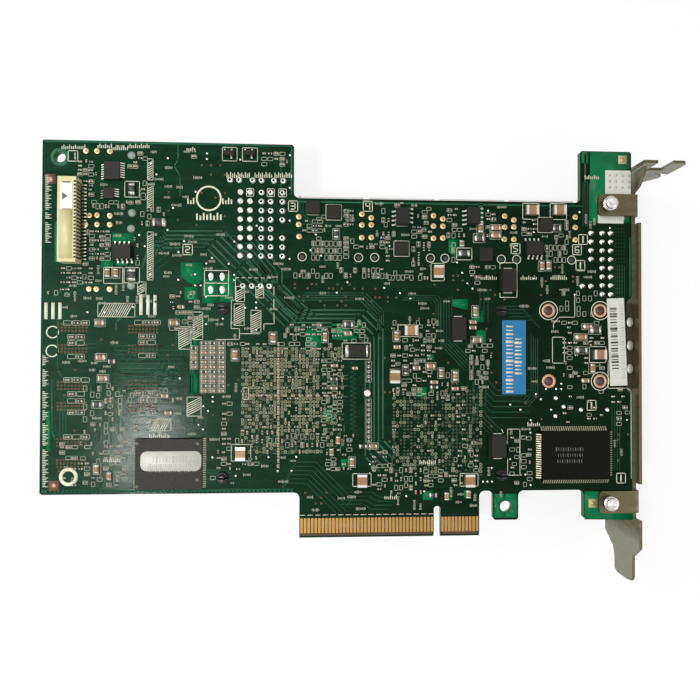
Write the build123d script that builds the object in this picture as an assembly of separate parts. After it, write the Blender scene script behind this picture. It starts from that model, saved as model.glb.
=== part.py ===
from build123d import *
import os

# A PCI Express storage controller card that lies on its component side, solder side up.
# X runs along the board towards the bracket, Y away from the edge contacts, Z out of the solder side.
# Until it is written out, the model's zero is on the solder side, on the key notch's centre line,
# at the tips of the edge contacts. All sizes are in millimetres.

overrun = 1.0
peg_sides = 8
pin_sides = 10
screw_sides = 16
can_sides = 16

# Circuit board
board_length = 167.65
board_height = 111.15
board_thick = 1.57
key_to_end = 57.15
main_edge = 12.8
key_width = 1.9
key_depth = 8.57
long_edge_run = 38.2
short_edge_run = 11.2
latch_slot = 4.04
centre_tab_width = 7.3
end_tab_width = 14.45
tab_rise = 4.47
step_drop = 15.15
step_run = 82.9
right_block = 15.25
port_notch_depth = 1.55
port_notch_length = 25.6
key_corner_share = 0.9
inner_corner = 1.6
outer_corner = 0.5
edge_bevel_height = 1.4
edge_bevel_depth = 0.4
board_hole_radius = 1.45
board_hole_inset = 4.8
tab_hole_radius = 1.65
tab_hole_rise = 8.23

# Edge contacts
contact_pitch = 1.0
contact_width = 0.7
contact_top = 5.57
contact_thick = 0.05
first_contact = 1.5
long_contact_count = 38
short_contact_count = 11

# Bracket, a bent steel sheet with two tabs that lie on the board's solder side
sheet = 0.86
bracket_gap = 1.04
bracket_width = 18.42
bracket_near = 1.7
bracket_foot = -3.9
bracket_drop = 4.85
flange_reach = 12.8
flange_overhang = 2.9
flange_slope = 1.7
flange_slope_share = 0.85
flange_bend_share = 0.9
tongue_length = 11.2
tongue_width = 9.4
tongue_inset = 3.65
tongue_tip = 1.6
tongue_point = 0.8
tongue_shoulder = 3.45
screw_notch_width = 4.5
screw_notch_depth = 5.8
screw_notch_inset = 4.2
hook_depth = 3.0
hook_corner = 0.9
hook_cut_width = 2.2
hook_cut_depth = 5.0
hook_step = 0.7
flange_corner_run = 2.7
flange_corner_drop = 3.8
tab_length = 12.2
tab_width = 6.3
tab_relief_width = 2.1
tab_relief_depth = 2.9
tab_relief_short = 0.9
tab_relief_slope = 1.3
tab_bend = 1.3
tab_corner = 1.2
tab_collar_radius = 1.95
tab_collar_height = 0.7
low_tab_rise = 9.4
high_tab_drop = 15.85
screw_inset = 9.45
screw_radius = 1.35
screw_clearance = 0.06
screw_head_radius = 2.8
screw_head_height = 1.9
screw_recess_length = 2.2
screw_recess_width = 0.6
screw_recess_depth = 1.0
low_screw_reach = 2.2
high_screw_reach = 1.6

# External port, its cage open at the bracket
cage_width = 24.0
cage_height = 10.2
cage_length = 29.5
cage_wall = 0.5
cage_proud = 1.3
cage_shift = 2.05
cage_clearance = 0.3
cage_peg_width = 1.8
cage_peg_thick = 0.8
cage_peg_short = 0.3
cage_peg_hole_radius = 1.15
cage_peg_back_inset = 1.6
cage_peg_span_y = 20.45
cage_peg_inset = 9.45
collar_thick = 0.3
collar_depth = 2.2
collar_bump_width = 1.1
collar_bump_crest = 0.5
collar_bump_height = 0.55
collar_bump_length = 3.4
collar_bump_pitch = 6.8
collar_bump_count = 3
mouth_depth = 10.0
card_slot_width = 15.2
card_slot_height = 1.3
card_slot_depth = 6.0
insert_nose_width = 17.8
insert_nose_height = 4.6
insert_nose_length = 6.6

# Internal ports, six alike
port_width = 18.9
port_height = 9.3
port_depth = 19.2
port_wall = 0.35
port_pitch = 20.6
port_peg_span = 16.2
port_peg_radius = 0.7
port_peg_hole_radius = 0.85
port_peg_inset = 1.55
port_peg_short = 0.3
port_mouth_depth = 5.6
port_window_width = 3.0
port_window_length = 4.2
port_window_inset = 2.2
port_window_span = 9.4
side_port_inset = 6.9
side_port_drop = 12.0
row_port_proud = 0.9
row_port_inset = 10.35

# Heat sink over the two large chips, held by four sprung push pins
pin_chip_gap = 3.98
pin_edge_gap = 4.5
heat_sink_cage_gap = 8.12
heat_sink_port_gap = 9.1
heat_sink_margin = 4.1
heat_sink_base = 2.4
heat_sink_height = 11.2
fin_thick = 0.9
fin_count = 19
pin_pocket = 9.2
thermal_pad_thick = 0.5
pin_radius = 1.4
pin_hole_radius = 1.55
pin_barb_radius = 1.75
pin_barb_height = 2.1
pin_barb_draft = 24.0
pin_slot = 0.55
pin_head_radius = 3.2
pin_head_height = 1.3
spring_length = 5.2
spring_radius = 2.2
spring_wire = 0.55
spring_pitch = 1.5
spring_air = 0.12
spring_step_count = 6

# Large chips and memory on the component side
controller_side = 31.0
large_chip_gap = 11.24
expander_side = 29.0
chip_carrier = 1.1
chip_lid = 1.3
lid_margin = 2.2
memory_length = 11.4
memory_width = 8.2
memory_height = 1.1

# Leaded chips, all of them moulded bodies with bent leads
lead_thick = 0.15
lead_foot_share = 0.45
flash_length = 18.4
flash_width = 14.0
flash_height = 1.0
flash_lead_pitch = 0.5
flash_lead_width = 0.22
flash_lead_reach = 0.8
flash_lead_count = 28
cache_length = 20.0
cache_width = 14.0
cache_height = 1.4
cache_lead_pitch = 0.65
cache_lead_width = 0.3
cache_lead_reach = 1.2
cache_edge_gap = 3.2
cache_long_lead_count = 30
cache_short_lead_count = 20
small_length = 4.9
small_width = 3.9
small_height = 1.5
small_lead_pitch = 1.27
small_lead_width = 0.42
small_lead_reach = 1.1
small_lead_count = 4
back_small_gap = 12.0
logic_length = 5.0
logic_width = 4.4
logic_height = 1.0
logic_lead_pitch = 0.65
logic_lead_width = 0.25
logic_lead_reach = 1.0
logic_lead_count = 7
monitor_side = 3.0
monitor_lead_count = 4
transistor_length = 2.9
transistor_width = 1.5
transistor_height = 1.0
transistor_lead_pitch = 1.9
transistor_lead_width = 0.45
transistor_lead_reach = 0.6
chip_draft = 4.0

# Capacitors, resistors and coils
tantalum_length = 6.8
tantalum_width = 4.4
tantalum_height = 2.6
tantalum_draft = 5.0
terminal_thick = 0.2
terminal_width_share = 0.55
terminal_foot_share = 0.2
port_tantalum_gap = 4.73
ceramic_length = 3.6
ceramic_width = 2.7
ceramic_height = 1.6
ceramic_end_share = 0.2
near_ceramic_inset = 10.06
near_ceramic_drop = 2.5
sense_length = 6.4
sense_width = 3.4
sense_height = 1.2
coil_side = 7.0
coil_height = 3.2
coil_corner = 1.0
can_radius = 3.15
can_height = 5.6
can_base_side = 6.6
can_base_height = 1.0
can_sink_gap = 1.5
crystal_length = 7.4
crystal_width = 4.6
crystal_height = 1.6
crystal_corner = 0.8
crystal_chip_gap = 12.8

# Battery socket on the solder side
socket_length = 23.2
socket_width = 4.9
socket_height = 3.6
socket_wall = 0.7
socket_contact_pitch = 1.0
socket_contact_width = 0.35
socket_undercut = 1.3
socket_contact_reach = 0.5
socket_contact_count = 20
tape_length = 7.0
tape_width = 3.1
tape_inset = 1.8
film = 0.1

# Pin headers on the component side
header_pitch = 2.54
header_row_count = 8
header_pin = 0.64
header_hole = 0.8
header_body_height = 2.5
header_pin_height = 8.5
header_pin_tip = 0.9
header_chamfer = 0.5
near_header_inset = 7.54
near_header_gap = 1.63
near_header_spare = 3.0
single_header_shift = 4.53
pair_header_shift = 5.87
pair_header_gap = 3.91

# Labels
blue_label_length = 21.3
blue_label_width = 6.9
blue_label_pin_gap = 1.05
blue_label_shift = 3.65
bar_label_length = 25.4
bar_label_width = 5.1
bar_label_turn = 2.2
bar_label_inset = 4.44
bar_label_shift = 1.18
high_label_length = 8.6
high_label_inset = 4.02
high_label_rise = 6.01
low_label_length = 3.4
low_label_inset = 6.2
low_label_drop = 3.49
tab_label_width = 7.6
chip_label_length = 16.6
chip_label_width = 5.4
chip_label_corner = 1.6

# Places on the board, as shares of its length from the left end and of the way from the main edge up to
# the step
memory_shares = [(0.051, 0.766), (0.051, 0.483), (0.052, 0.205), (0.166, 0.764), (0.166, 0.483)]
controller_share = 0.3124
expander_share = 0.2002
flash_shares = (0.211, 0.1013)
cache_share = 0.897
upright_small_shares = [(0.599, 0.9403), (0.720, 0.9456)]
level_small_shares = [(0.133, 0.8080), (0.826, 0.8361)]
logic_shares = (0.115, 1.0792)
monitor_shares = (0.110, 1.0031)
transistor_shares = [(0.307, 1.1460), (0.341, 1.1474)]
flat_chip_shares = [(0.447, 0.9670), (0.482, 0.9536), (0.598, 0.8321), (0.847, 0.9202), (0.742, 0.8134)]
tantalum_shares = [(0.693, 0.5569), (0.761, 0.1561)]
port_tantalum_share = 0.779
level_ceramic_shares = [(0.822, 0.9683), (0.870, 0.9697), (0.613, 0.5502)]
upright_ceramic_shares = [(0.660, 0.7519), (0.586, 0.3926), (0.531, 0.0412), (0.714, 0.0385),
                          (0.328, 0.1347)]
sense_shares = (0.521, 0.4794)
coil_shares = [(0.850, 0.0933), (0.905, 0.0933), (0.960, 0.0933), (0.840, 0.2269)]
can_shares = [(0.895, 0.2336), (0.945, 0.2336)]
left_can_share = 0.044
crystal_share = 0.602
back_small_share = 0.2326
socket_shares = (0.050, 0.9069)
left_header_shares = (0.685, 0.9082)

board_left = key_to_end - board_length
top_face = -board_thick
key_half = key_width / 2
edge_left = -key_half - long_edge_run
edge_right = key_half + short_edge_run
centre_tab_left = edge_right + latch_slot
centre_tab_right = centre_tab_left + centre_tab_width
end_tab_left = key_to_end - end_tab_width
step_rise = board_height - step_drop
step_right = key_to_end - right_block
step_left = step_right - step_run
plate_in = key_to_end + bracket_gap
plate_out = plate_in + sheet
bracket_deep = bracket_near - bracket_width
bracket_top = board_height - bracket_drop
high_tab_rise = board_height - high_tab_drop
cage_rise = (low_tab_rise + high_tab_rise) / 2 + cage_shift
cage_back = plate_out + cage_proud - cage_length
port_row_back = step_rise + row_port_proud - port_depth
right_pin = cage_back - heat_sink_cage_gap - heat_sink_margin
expander_x = right_pin - pin_chip_gap - expander_side / 2
controller_x = expander_x - (expander_side + controller_side) / 2 - large_chip_gap
left_pin = controller_x - controller_side / 2 - pin_chip_gap
low_pin = main_edge + pin_edge_gap
high_pin = port_row_back - heat_sink_port_gap - heat_sink_margin


def spot(shares):
    """The board place, in x and y, that two shares name."""
    across, up = shares
    return board_left + across * board_length, main_edge + up * (step_rise - main_edge)


def slab(x0, x1, y0, y1, z0, z1):
    """A box between two limits on each axis."""
    middle = Pos((x0 + x1) / 2, (y0 + y1) / 2, (z0 + z1) / 2)
    return middle * Box(x1 - x0, y1 - y0, z1 - z0)


def block(x, y, length, width, z0, z1):
    """A box centred on a board place, between two heights."""
    return slab(x - length / 2, x + length / 2, y - width / 2, y + width / 2, z0, z1)


def drum(x, y, radius, z0, z1, sides=0):
    """A round post or hole between two heights; small ones that repeat have a few flat sides."""
    outline = RegularPolygon(radius, sides) if sides else Circle(radius)
    return Pos(x, y, z0) * extrude(outline, z1 - z0)


def upright_edges(shape, places):
    """The edges along Z that lie nearest to the listed places."""
    edges = shape.edges().filter_by(Axis.Z)
    level = shape.center().Z
    return [min(edges, key=lambda edge: (edge.center() - Vector(x, y, level)).length) for x, y in places]


def moulded(x, y, length, width, z0, height, draft=chip_draft):
    """A moulded body that narrows with its height; a negative height grows towards the components."""
    body = extrude(Rectangle(length, width), abs(height), taper=draft)
    return Pos(x, y, z0) * (body if height > 0 else mirror(body, Plane.XY))


def lead_row(x, y, turn, side, count, pitch, width, reach, height, up=1, bent=True):
    """A row of leads on one side of a chip, their feet on the board; fine ones slope straight down."""
    knee = reach * (1 - lead_foot_share)
    foot = [(knee, lead_thick), (reach, lead_thick), (reach, 0), (knee - lead_thick, 0)] if bent else [
        (reach, lead_thick), (reach, 0)]
    outline = Polyline((0, height / 2 + lead_thick), *foot, (0, height / 2), close=True)
    profile = make_face(Plane.XZ * outline)
    base = 0 if up > 0 else top_face
    leads = []
    for step in range(count):
        offset = (step - (count - 1) / 2) * pitch
        lead = Pos(side, offset + width / 2, 0) * extrude(profile, width)
        if up < 0:
            lead = mirror(lead, Plane.XY)
        leads.append(Pos(x, y, base) * Rot(0, 0, turn) * lead)
    return leads


def circuit_board():
    """The board: a body with a step, the edge connector, two tabs and its drilled holes."""
    outline = [
        slab(board_left, key_to_end, main_edge, board_height, top_face, 0),
        slab(edge_left, edge_right, 0, main_edge + overrun, top_face, 0),
        slab(centre_tab_left, centre_tab_right, tab_rise, main_edge + overrun, top_face, 0),
        slab(end_tab_left, key_to_end, tab_rise, main_edge + overrun, top_face, 0)]
    board = outline[0] + outline[1:]
    deep, high = top_face - overrun, overrun
    board -= slab(step_left, step_right, step_rise, board_height + overrun, deep, high)
    board -= slab(-key_half, key_half, -overrun, key_depth, deep, high)
    half = port_notch_length / 2
    inside, outside = key_to_end - port_notch_depth, key_to_end + overrun
    flare = half + port_notch_depth + overrun
    notch = Polyline((outside, cage_rise + flare), (inside, cage_rise + half), (inside, cage_rise - half),
                     (outside, cage_rise - flare), close=True)
    board -= Pos(0, 0, deep) * extrude(make_face(notch), board_thick + 2 * overrun)
    key_end = upright_edges(board, [(-key_half, key_depth), (key_half, key_depth)])
    board = fillet(key_end, key_half * key_corner_share)
    inner = [(step_left, step_rise), (step_right, step_rise), (edge_left, main_edge),
             (edge_right, main_edge), (centre_tab_left, main_edge), (centre_tab_right, main_edge),
             (end_tab_left, main_edge)]
    board = fillet(upright_edges(board, inner), inner_corner)
    outer = [(board_left, board_height), (board_left, main_edge), (step_left, board_height),
             (step_right, board_height), (key_to_end, board_height), (key_to_end, tab_rise),
             (end_tab_left, tab_rise), (centre_tab_left, tab_rise), (centre_tab_right, tab_rise)]
    board = chamfer(upright_edges(board, outer), outer_corner)
    for face, inward in ((0, -1), (top_face, 1)):
        cut = face + edge_bevel_depth * inward
        bevel = Polyline((0, -overrun, face - overrun * inward), (0, edge_bevel_height, face), (0, 0, cut),
                         (0, -overrun, cut), close=True)
        wedge = extrude(make_face(bevel), edge_right - edge_left + 2 * overrun, dir=(1, 0, 0))
        board -= Pos(edge_left - overrun, 0, 0) * wedge
    tab_middle = (centre_tab_left + centre_tab_right) / 2
    corner_x, corner_y = board_left + board_hole_inset, board_height - board_hole_inset
    holes = [drum(tab_middle, tab_hole_rise, tab_hole_radius, deep, high),
             drum(corner_x, corner_y, board_hole_radius, deep, high)]
    port_pegs = [place for seat in port_seats() for place in port_peg_places(seat)]
    for places, radius, sides in ((screw_places(), screw_radius + screw_clearance, screw_sides),
                                  (cage_peg_places(), cage_peg_hole_radius, pin_sides),
                                  (push_pin_places(), pin_hole_radius, pin_sides),
                                  (port_pegs, port_peg_hole_radius, peg_sides)):
        holes += [drum(x, y, radius, deep, high, sides) for x, y in places]
    holes += [block(x, y, header_hole, header_hole, deep, high)
              for header in headers() for x, y in header_places(*header)]
    return board - holes


def edge_contacts():
    """Plated contacts on both faces of the edge connector."""
    starts = [-first_contact - step * contact_pitch for step in range(long_contact_count)]
    starts += [first_contact + step * contact_pitch for step in range(short_contact_count)]
    rows = [(0, contact_thick), (top_face - contact_thick, top_face)]
    return [slab(x - contact_width / 2, x + contact_width / 2, edge_bevel_height, contact_top, low, high)
            for x in starts for low, high in rows]


def screw_places():
    """The two bracket screws, one in each tab."""
    return [(plate_out - screw_inset, low_tab_rise), (plate_out - screw_inset, high_tab_rise)]


def bracket():
    """The bracket, one sheet: plate, slotted top flange, tongue and the two tabs folded onto the board."""
    near, deep = bracket_near, bracket_deep
    slope_end = near + flange_overhang * flange_slope_share
    under_flange = bracket_top - sheet
    tongue_near = near - tongue_inset
    tongue_deep = tongue_near - tongue_width
    tip = bracket_foot - tongue_length
    shoulder = bracket_foot - tongue_shoulder
    relief = near - tab_relief_depth
    relief_top = high_tab_rise + tab_width / 2 + tab_relief_short
    outline = Polyline(
        (under_flange, near + flange_overhang), (under_flange - flange_slope, slope_end),
        (relief_top + tab_relief_slope, near), (relief_top, relief),
        (high_tab_rise, relief), (high_tab_rise, near), (bracket_foot, near), (shoulder, tongue_near),
        (tip + tongue_tip, tongue_near), (tip + tongue_point / 2, tongue_near - tongue_point),
        (tip, tongue_near - 2 * tongue_tip), (tip, tongue_deep + tongue_tip),
        (tip + tongue_point, tongue_deep), (shoulder - tongue_shoulder, tongue_deep),
        (shoulder - tongue_point / 2, tongue_deep - tongue_point), (bracket_foot, deep),
        (under_flange, deep), close=True)
    side = Plane(origin=(plate_in, 0, 0), x_dir=(0, 1, 0), z_dir=(1, 0, 0))
    plate = extrude(make_face(side * outline), sheet)
    end = plate_in + flange_reach
    notch_right = end - screw_notch_inset
    notch_left = notch_right - screw_notch_width
    high = near + flange_overhang
    notch_floor = high - screw_notch_depth
    hook = notch_floor - hook_depth
    step = end - hook_step
    flange_outline = Polyline(
        (plate_in, high), (notch_left, high), (notch_left, notch_floor), (notch_right, notch_floor),
        (notch_right, high), (end - hook_corner, high), (end, high - hook_corner), (end, hook),
        (end - hook_cut_depth, hook + hook_cut_width / 2), (step, hook - hook_cut_width),
        (step, hook - hook_cut_width - 2 * hook_step), (step - flange_corner_run, hook - hook_cut_width
        - 2 * hook_step - flange_corner_drop), (plate_out + flange_corner_drop, deep), (plate_in, deep),
        close=True)
    lid = Plane(origin=(0, bracket_top, 0), x_dir=(1, 0, 0), z_dir=(0, -1, 0))
    flange = extrude(make_face(lid * flange_outline), sheet)
    body = plate + flange
    bend = [edge for edge in body.edges().filter_by(Axis.Z)
            if (edge.center() - Vector(plate_in, bracket_top, edge.center().Z)).length < sheet / 2]
    body = fillet(bend, sheet * flange_bend_share)
    half = tab_width / 2
    low, top = film, film + sheet
    for rise, above in ((low_tab_rise, tab_relief_width), (high_tab_rise, 0)):
        body -= slab(plate_in - overrun, plate_out + overrun, rise - half - tab_relief_width,
                     rise + half + above, relief, near + overrun)
        strip = slab(plate_out - tab_length, plate_out, rise - half, rise + half, low, top)
        strip += slab(plate_in, plate_out, rise - half, rise + half, relief - overrun, top)
        outer = [edge for edge in strip.edges().filter_by(Axis.Y)
                 if (edge.center() - Vector(plate_out, rise, top)).length < sheet / 2]
        strip = fillet(outer, tab_bend)
        inner = [edge for edge in strip.edges().filter_by(Axis.Y)
                 if (edge.center() - Vector(plate_in, rise, low)).length < sheet / 2]
        strip = fillet(inner, tab_bend - sheet)
        left = plate_out - tab_length
        strip = fillet(upright_edges(strip, [(left, rise - half), (left, rise + half)]), tab_corner)
        body += strip
    for x, y in screw_places():
        body += drum(x, y, tab_collar_radius, top, top + tab_collar_height)
        body -= drum(x, y, screw_radius + screw_clearance, -overrun, top + tab_collar_height + overrun)
    window = cage_clearance
    return body - slab(plate_in - overrun, plate_out + overrun, cage_low() - window, cage_high() + window,
                       top_face - cage_height - window, top_face + window)


def bracket_screws():
    """Two screws, driven from the component side through the board into the tabs."""
    screws = []
    low = top_face - screw_head_height
    for (x, y), reach in zip(screw_places(), (low_screw_reach, high_screw_reach)):
        head = drum(x, y, screw_head_radius, low, top_face, screw_sides)
        shank = drum(x, y, screw_radius, low + screw_recess_depth, film + sheet + reach, screw_sides)
        recess = [block(x, y, length, width, low - overrun, low + screw_recess_depth)
                  for length, width in ((screw_recess_length, screw_recess_width),
                                        (screw_recess_width, screw_recess_length))]
        screws.append(head + shank - recess)
    return screws


def cage_low():
    """The cage's side that is nearer to the edge contacts."""
    return cage_rise - cage_width / 2


def cage_high():
    """The cage's other side."""
    return cage_rise + cage_width / 2


def cage_peg_places():
    """The four pegs that hold the external port's cage in the board."""
    half = cage_peg_span_y / 2
    ends = (cage_back + cage_peg_back_inset, key_to_end - cage_peg_inset)
    return [(x, cage_rise + y) for x in ends for y in (-half, half)]


def external_port_cage():
    """A folded steel box, open at the bracket, with four flat pegs in the board."""
    mouth = plate_out + cage_proud
    low, high = top_face - cage_height, top_face
    cage = slab(mouth - cage_length, mouth, cage_low(), cage_high(), low, high)
    cage -= slab(mouth - cage_length + cage_wall, mouth + overrun, cage_low() + cage_wall,
                 cage_high() - cage_wall, low + cage_wall, high - cage_wall)
    pegs = [block(x, y, cage_peg_width, cage_peg_thick, top_face - cage_wall / 2, -cage_peg_short)
            for x, y in cage_peg_places()]
    return cage + pegs


def external_port_insert():
    """The moulded block at the back of the cage, with the slot that takes a cable's card edge."""
    mouth = plate_out + cage_proud
    air = cage_clearance / 3
    low, high = top_face - cage_height + cage_wall, top_face - cage_wall
    back, front = mouth - cage_length + cage_wall, mouth - mouth_depth
    body = slab(back, front - insert_nose_length, cage_low() + cage_wall + air,
                cage_high() - cage_wall - air, low, high)
    middle = (low + high) / 2
    nose = slab(front - insert_nose_length, front, cage_rise - insert_nose_width / 2,
                cage_rise + insert_nose_width / 2, middle - insert_nose_height / 2,
                middle + insert_nose_height / 2)
    slot = slab(front - card_slot_depth, front + overrun, cage_rise - card_slot_width / 2,
                cage_rise + card_slot_width / 2, middle - card_slot_height / 2,
                middle + card_slot_height / 2)
    return body + nose - slot


def external_port_gasket():
    """The sprung collar between the board's notch and the bracket."""
    right, left = plate_in, plate_in - collar_depth
    air = cage_clearance / 3
    low, high = top_face - cage_height - air, top_face + air
    inner = slab(left - overrun, right + overrun, cage_low() - air, cage_high() + air, low, high)
    ring = slab(left, right, cage_low() - air - collar_thick, cage_high() + air + collar_thick,
                low - collar_thick, high + collar_thick) - inner
    foot, crest = collar_bump_width / 2, collar_bump_crest / 2
    bumps = []
    for step in range(collar_bump_count):
        y = cage_rise + (step - (collar_bump_count - 1) / 2) * collar_bump_pitch
        for z, rise in ((high + collar_thick, collar_bump_height),
                        (low - collar_thick, -collar_bump_height)):
            outline = Polyline((-foot, 0), (foot, 0), (crest, rise), (-crest, rise), close=True)
            ridge = extrude(make_face(Plane.XZ * outline), collar_bump_length / 2, both=True)
            bumps.append(Pos(right - collar_depth / 2, y, z) * ridge)
    return ring + bumps


def port_seats():
    """Where each internal port's mouth stands, and how far it is turned from facing the left end."""
    mouth = board_left + side_port_inset
    seats = [(mouth, board_height - side_port_drop - step * port_pitch, 0) for step in range(2)]
    first = step_left + row_port_inset
    seats += [(first + step * port_pitch, step_rise + row_port_proud, -90) for step in range(4)]
    return seats


def port_peg_places(seat):
    """The two locating pegs of one internal port."""
    x, y, turn = seat
    inset = port_depth - port_peg_inset
    spots = [Pos(x, y, 0) * Rot(0, 0, turn) * Pos(inset, side * port_peg_span / 2, 0) for side in (-1, 1)]
    return [(place.position.X, place.position.Y) for place in spots]


def internal_port_shell(seat):
    """A folded steel shell with two latch windows, open below to its core and the board."""
    x, y, turn = seat
    half = port_width / 2
    shell = slab(0, port_depth, -half, half, -port_height, 0)
    shell -= slab(-overrun, port_depth - port_wall, -half + port_wall, half - port_wall,
                  -port_height + port_wall, -port_wall)
    shell -= slab(port_mouth_depth, port_depth + overrun, -half + port_wall, half - port_wall,
                  -2 * port_wall, overrun)
    for side in (-1, 1):
        middle = side * port_window_span / 2
        shell -= slab(port_window_inset, port_window_inset + port_window_length,
                      middle - port_window_width / 2, middle + port_window_width / 2,
                      -port_height - overrun, -port_height + 2 * port_wall)
    return Pos(x, y, top_face) * Rot(0, 0, turn) * shell


def internal_port_core(seat):
    """The moulded block in the shell, with its card slot and its two pegs."""
    x, y, turn = seat
    air = cage_clearance / 3
    half = port_width / 2 - port_wall - air
    low = -port_height + port_wall + air
    core = slab(port_mouth_depth + port_wall, port_depth - port_wall - air, -half, half, low, 0)
    middle = low / 2
    core -= slab(port_mouth_depth - overrun, port_mouth_depth + card_slot_depth, -card_slot_width / 2,
                 card_slot_width / 2, middle - card_slot_height / 2, middle + card_slot_height / 2)
    pegs = [drum(port_depth - port_peg_inset, side * port_peg_span / 2, port_peg_radius, -overrun,
                 board_thick - port_peg_short, peg_sides) for side in (-1, 1)]
    return Pos(x, y, top_face) * Rot(0, 0, turn) * (core + pegs)


def push_pin_places():
    """The four corners that hold the heat sink down, outside the large chips and short of the ports."""
    return [(x, y) for x in (left_pin, right_pin) for y in (low_pin, high_pin)]


def chip_seat():
    """The height of the large chips' lids, seen from the solder side."""
    return top_face - chip_carrier - chip_lid


def heat_sink():
    """An extruded heat sink: a base with fins along the board and a pocket at each push pin."""
    middle_x, middle_y = (left_pin + right_pin) / 2, (low_pin + high_pin) / 2
    half_x = (right_pin - left_pin) / 2 + heat_sink_margin
    half_y = (high_pin - low_pin) / 2 + heat_sink_margin
    top = chip_seat() - thermal_pad_thick
    floor = top - heat_sink_base
    body = block(middle_x, middle_y, 2 * half_x, 2 * half_y, floor, top)
    pitch = (2 * half_y - fin_thick) / (fin_count - 1)
    fins = [block(middle_x, middle_y - half_y + fin_thick / 2 + step * pitch, 2 * half_x, fin_thick,
                  top - heat_sink_height, floor + fin_thick / 2) for step in range(fin_count)]
    body += fins
    for x, y in push_pin_places():
        side_x, side_y = (1 if x > middle_x else -1), (1 if y > middle_y else -1)
        corner_x, corner_y = middle_x + side_x * half_x, middle_y + side_y * half_y
        x0, x1 = sorted((corner_x + side_x * overrun, corner_x - side_x * pin_pocket))
        y0, y1 = sorted((corner_y + side_y * overrun, corner_y - side_y * pin_pocket))
        body -= slab(x0, x1, y0, y1, top - heat_sink_height - overrun, floor)
        body -= drum(x, y, pin_hole_radius, floor - overrun, top + overrun, pin_sides)
    return body


def push_pins():
    """Four split nylon pins whose barbs open on the solder side."""
    seat = chip_seat() - thermal_pad_thick - heat_sink_base - spring_length
    barb = extrude(RegularPolygon(pin_barb_radius, pin_sides), pin_barb_height, taper=pin_barb_draft)
    pin = barb + drum(0, 0, pin_radius, seat, overrun, pin_sides)
    pin += drum(0, 0, pin_head_radius, seat - pin_head_height, seat, pin_sides)
    pin -= slab(-pin_barb_radius - overrun, pin_barb_radius + overrun, -pin_slot / 2, pin_slot / 2,
                top_face, pin_barb_height + overrun)
    return [Pos(x, y, 0) * pin for x, y in push_pin_places()]


def push_pin_springs():
    """Four coil springs between the push pins' heads and the heat sink's base."""
    low = chip_seat() - thermal_pad_thick - heat_sink_base - spring_length + spring_wire / 2 + spring_air
    rise = spring_length - spring_wire - 2 * spring_air
    path = Helix(spring_pitch, rise, spring_radius)
    steps = round(rise / spring_pitch * spring_step_count)
    line = Polyline(*[path @ (step / steps) for step in range(steps + 1)])
    start = Plane(origin=line @ 0, x_dir=(1, 0, 0), z_dir=line % 0)
    coil = sweep(start * Rectangle(spring_wire, spring_wire), path=line, transition=Transition.RIGHT)
    return [Pos(x, y, low) * coil for x, y in push_pin_places()]


def large_chip(x, share, side):
    """A large chip: a square carrier with a lid."""
    y = spot((0, share))[1]
    carrier = block(x, y, side, side, top_face - chip_carrier, top_face)
    lid = moulded(x, y, side - 2 * lid_margin, side - 2 * lid_margin, top_face - chip_carrier, -chip_lid)
    return carrier + lid


def memory_spot(shares):
    """A memory chip's place; its rows share the way from the main edge to the lower side port."""
    across, up = shares
    port_low = board_height - side_port_drop - port_pitch - port_width / 2
    return board_left + across * board_length, main_edge + up * (port_low - main_edge)


def thermal_pad(x, share, side):
    """The soft pad between a large chip and the heat sink."""
    y = spot((0, share))[1]
    width = side - 3 * lid_margin
    return block(x, y, width, width, chip_seat() - thermal_pad_thick, chip_seat())


def four_sided_leads(x, y, length, width, long_leads, short_leads, pitch, lead_width, reach, height):
    """Fine leads on all four sides of a chip."""
    rows = []
    for turn, side, count in ((0, length / 2, short_leads), (180, length / 2, short_leads),
                              (90, width / 2, long_leads), (270, width / 2, long_leads)):
        rows += lead_row(x, y, turn, side, count, pitch, lead_width, reach, height, bent=False)
    return rows


def two_sided_leads(x, y, turn, width, count, pitch, lead_width, reach, height, up=1, bent=True):
    """Leads on two opposite sides of a chip."""
    rows = []
    for extra in (0, 180):
        rows += lead_row(x, y, turn + extra, width / 2, count, pitch, lead_width, reach, height, up, bent)
    return rows


def small_chips():
    """Eight-lead chips on both sides of the board, as bodies and leads."""
    bodies, leads = [], []
    chips = [(spot(place), 0, 1) for place in upright_small_shares]
    chips += [(spot(place), 90, 1) for place in level_small_shares]
    back_x = controller_x - controller_side / 2 - back_small_gap
    chips.append(((back_x, spot((0, back_small_share))[1]), 0, -1))
    for (x, y), turn, up in chips:
        length, width = (small_width, small_length) if turn == 0 else (small_length, small_width)
        base = lead_thick if up > 0 else top_face - lead_thick
        bodies.append(moulded(x, y, length, width, base, small_height * up))
        leads += two_sided_leads(x, y, turn, small_width, small_lead_count, small_lead_pitch,
                                 small_lead_width, small_lead_reach, small_height, up)
    return bodies, leads


def logic_chips():
    """The finer-pitched logic and monitor chips beside the battery socket."""
    x, y = spot(logic_shares)
    bodies = [moulded(x, y, logic_width, logic_length, lead_thick, logic_height)]
    leads = two_sided_leads(x, y, 0, logic_width, logic_lead_count, logic_lead_pitch, logic_lead_width,
                            logic_lead_reach, logic_height, bent=False)
    x, y = spot(monitor_shares)
    bodies.append(moulded(x, y, monitor_side, monitor_side, lead_thick, logic_height))
    leads += two_sided_leads(x, y, 0, monitor_side, monitor_lead_count, logic_lead_pitch, logic_lead_width,
                             logic_lead_reach, logic_height, bent=False)
    return bodies, leads


def transistors():
    """Three-lead transistors: two leads on the upper side, one on the lower."""
    bodies, leads = [], []
    for place in transistor_shares:
        x, y = spot(place)
        bodies.append(moulded(x, y, transistor_length, transistor_width, lead_thick, transistor_height))
        for turn, count in ((90, 2), (270, 1)):
            leads += lead_row(x, y, turn, transistor_width / 2, count, transistor_lead_pitch,
                              transistor_lead_width, transistor_lead_reach, transistor_height)
    return bodies, leads


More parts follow.
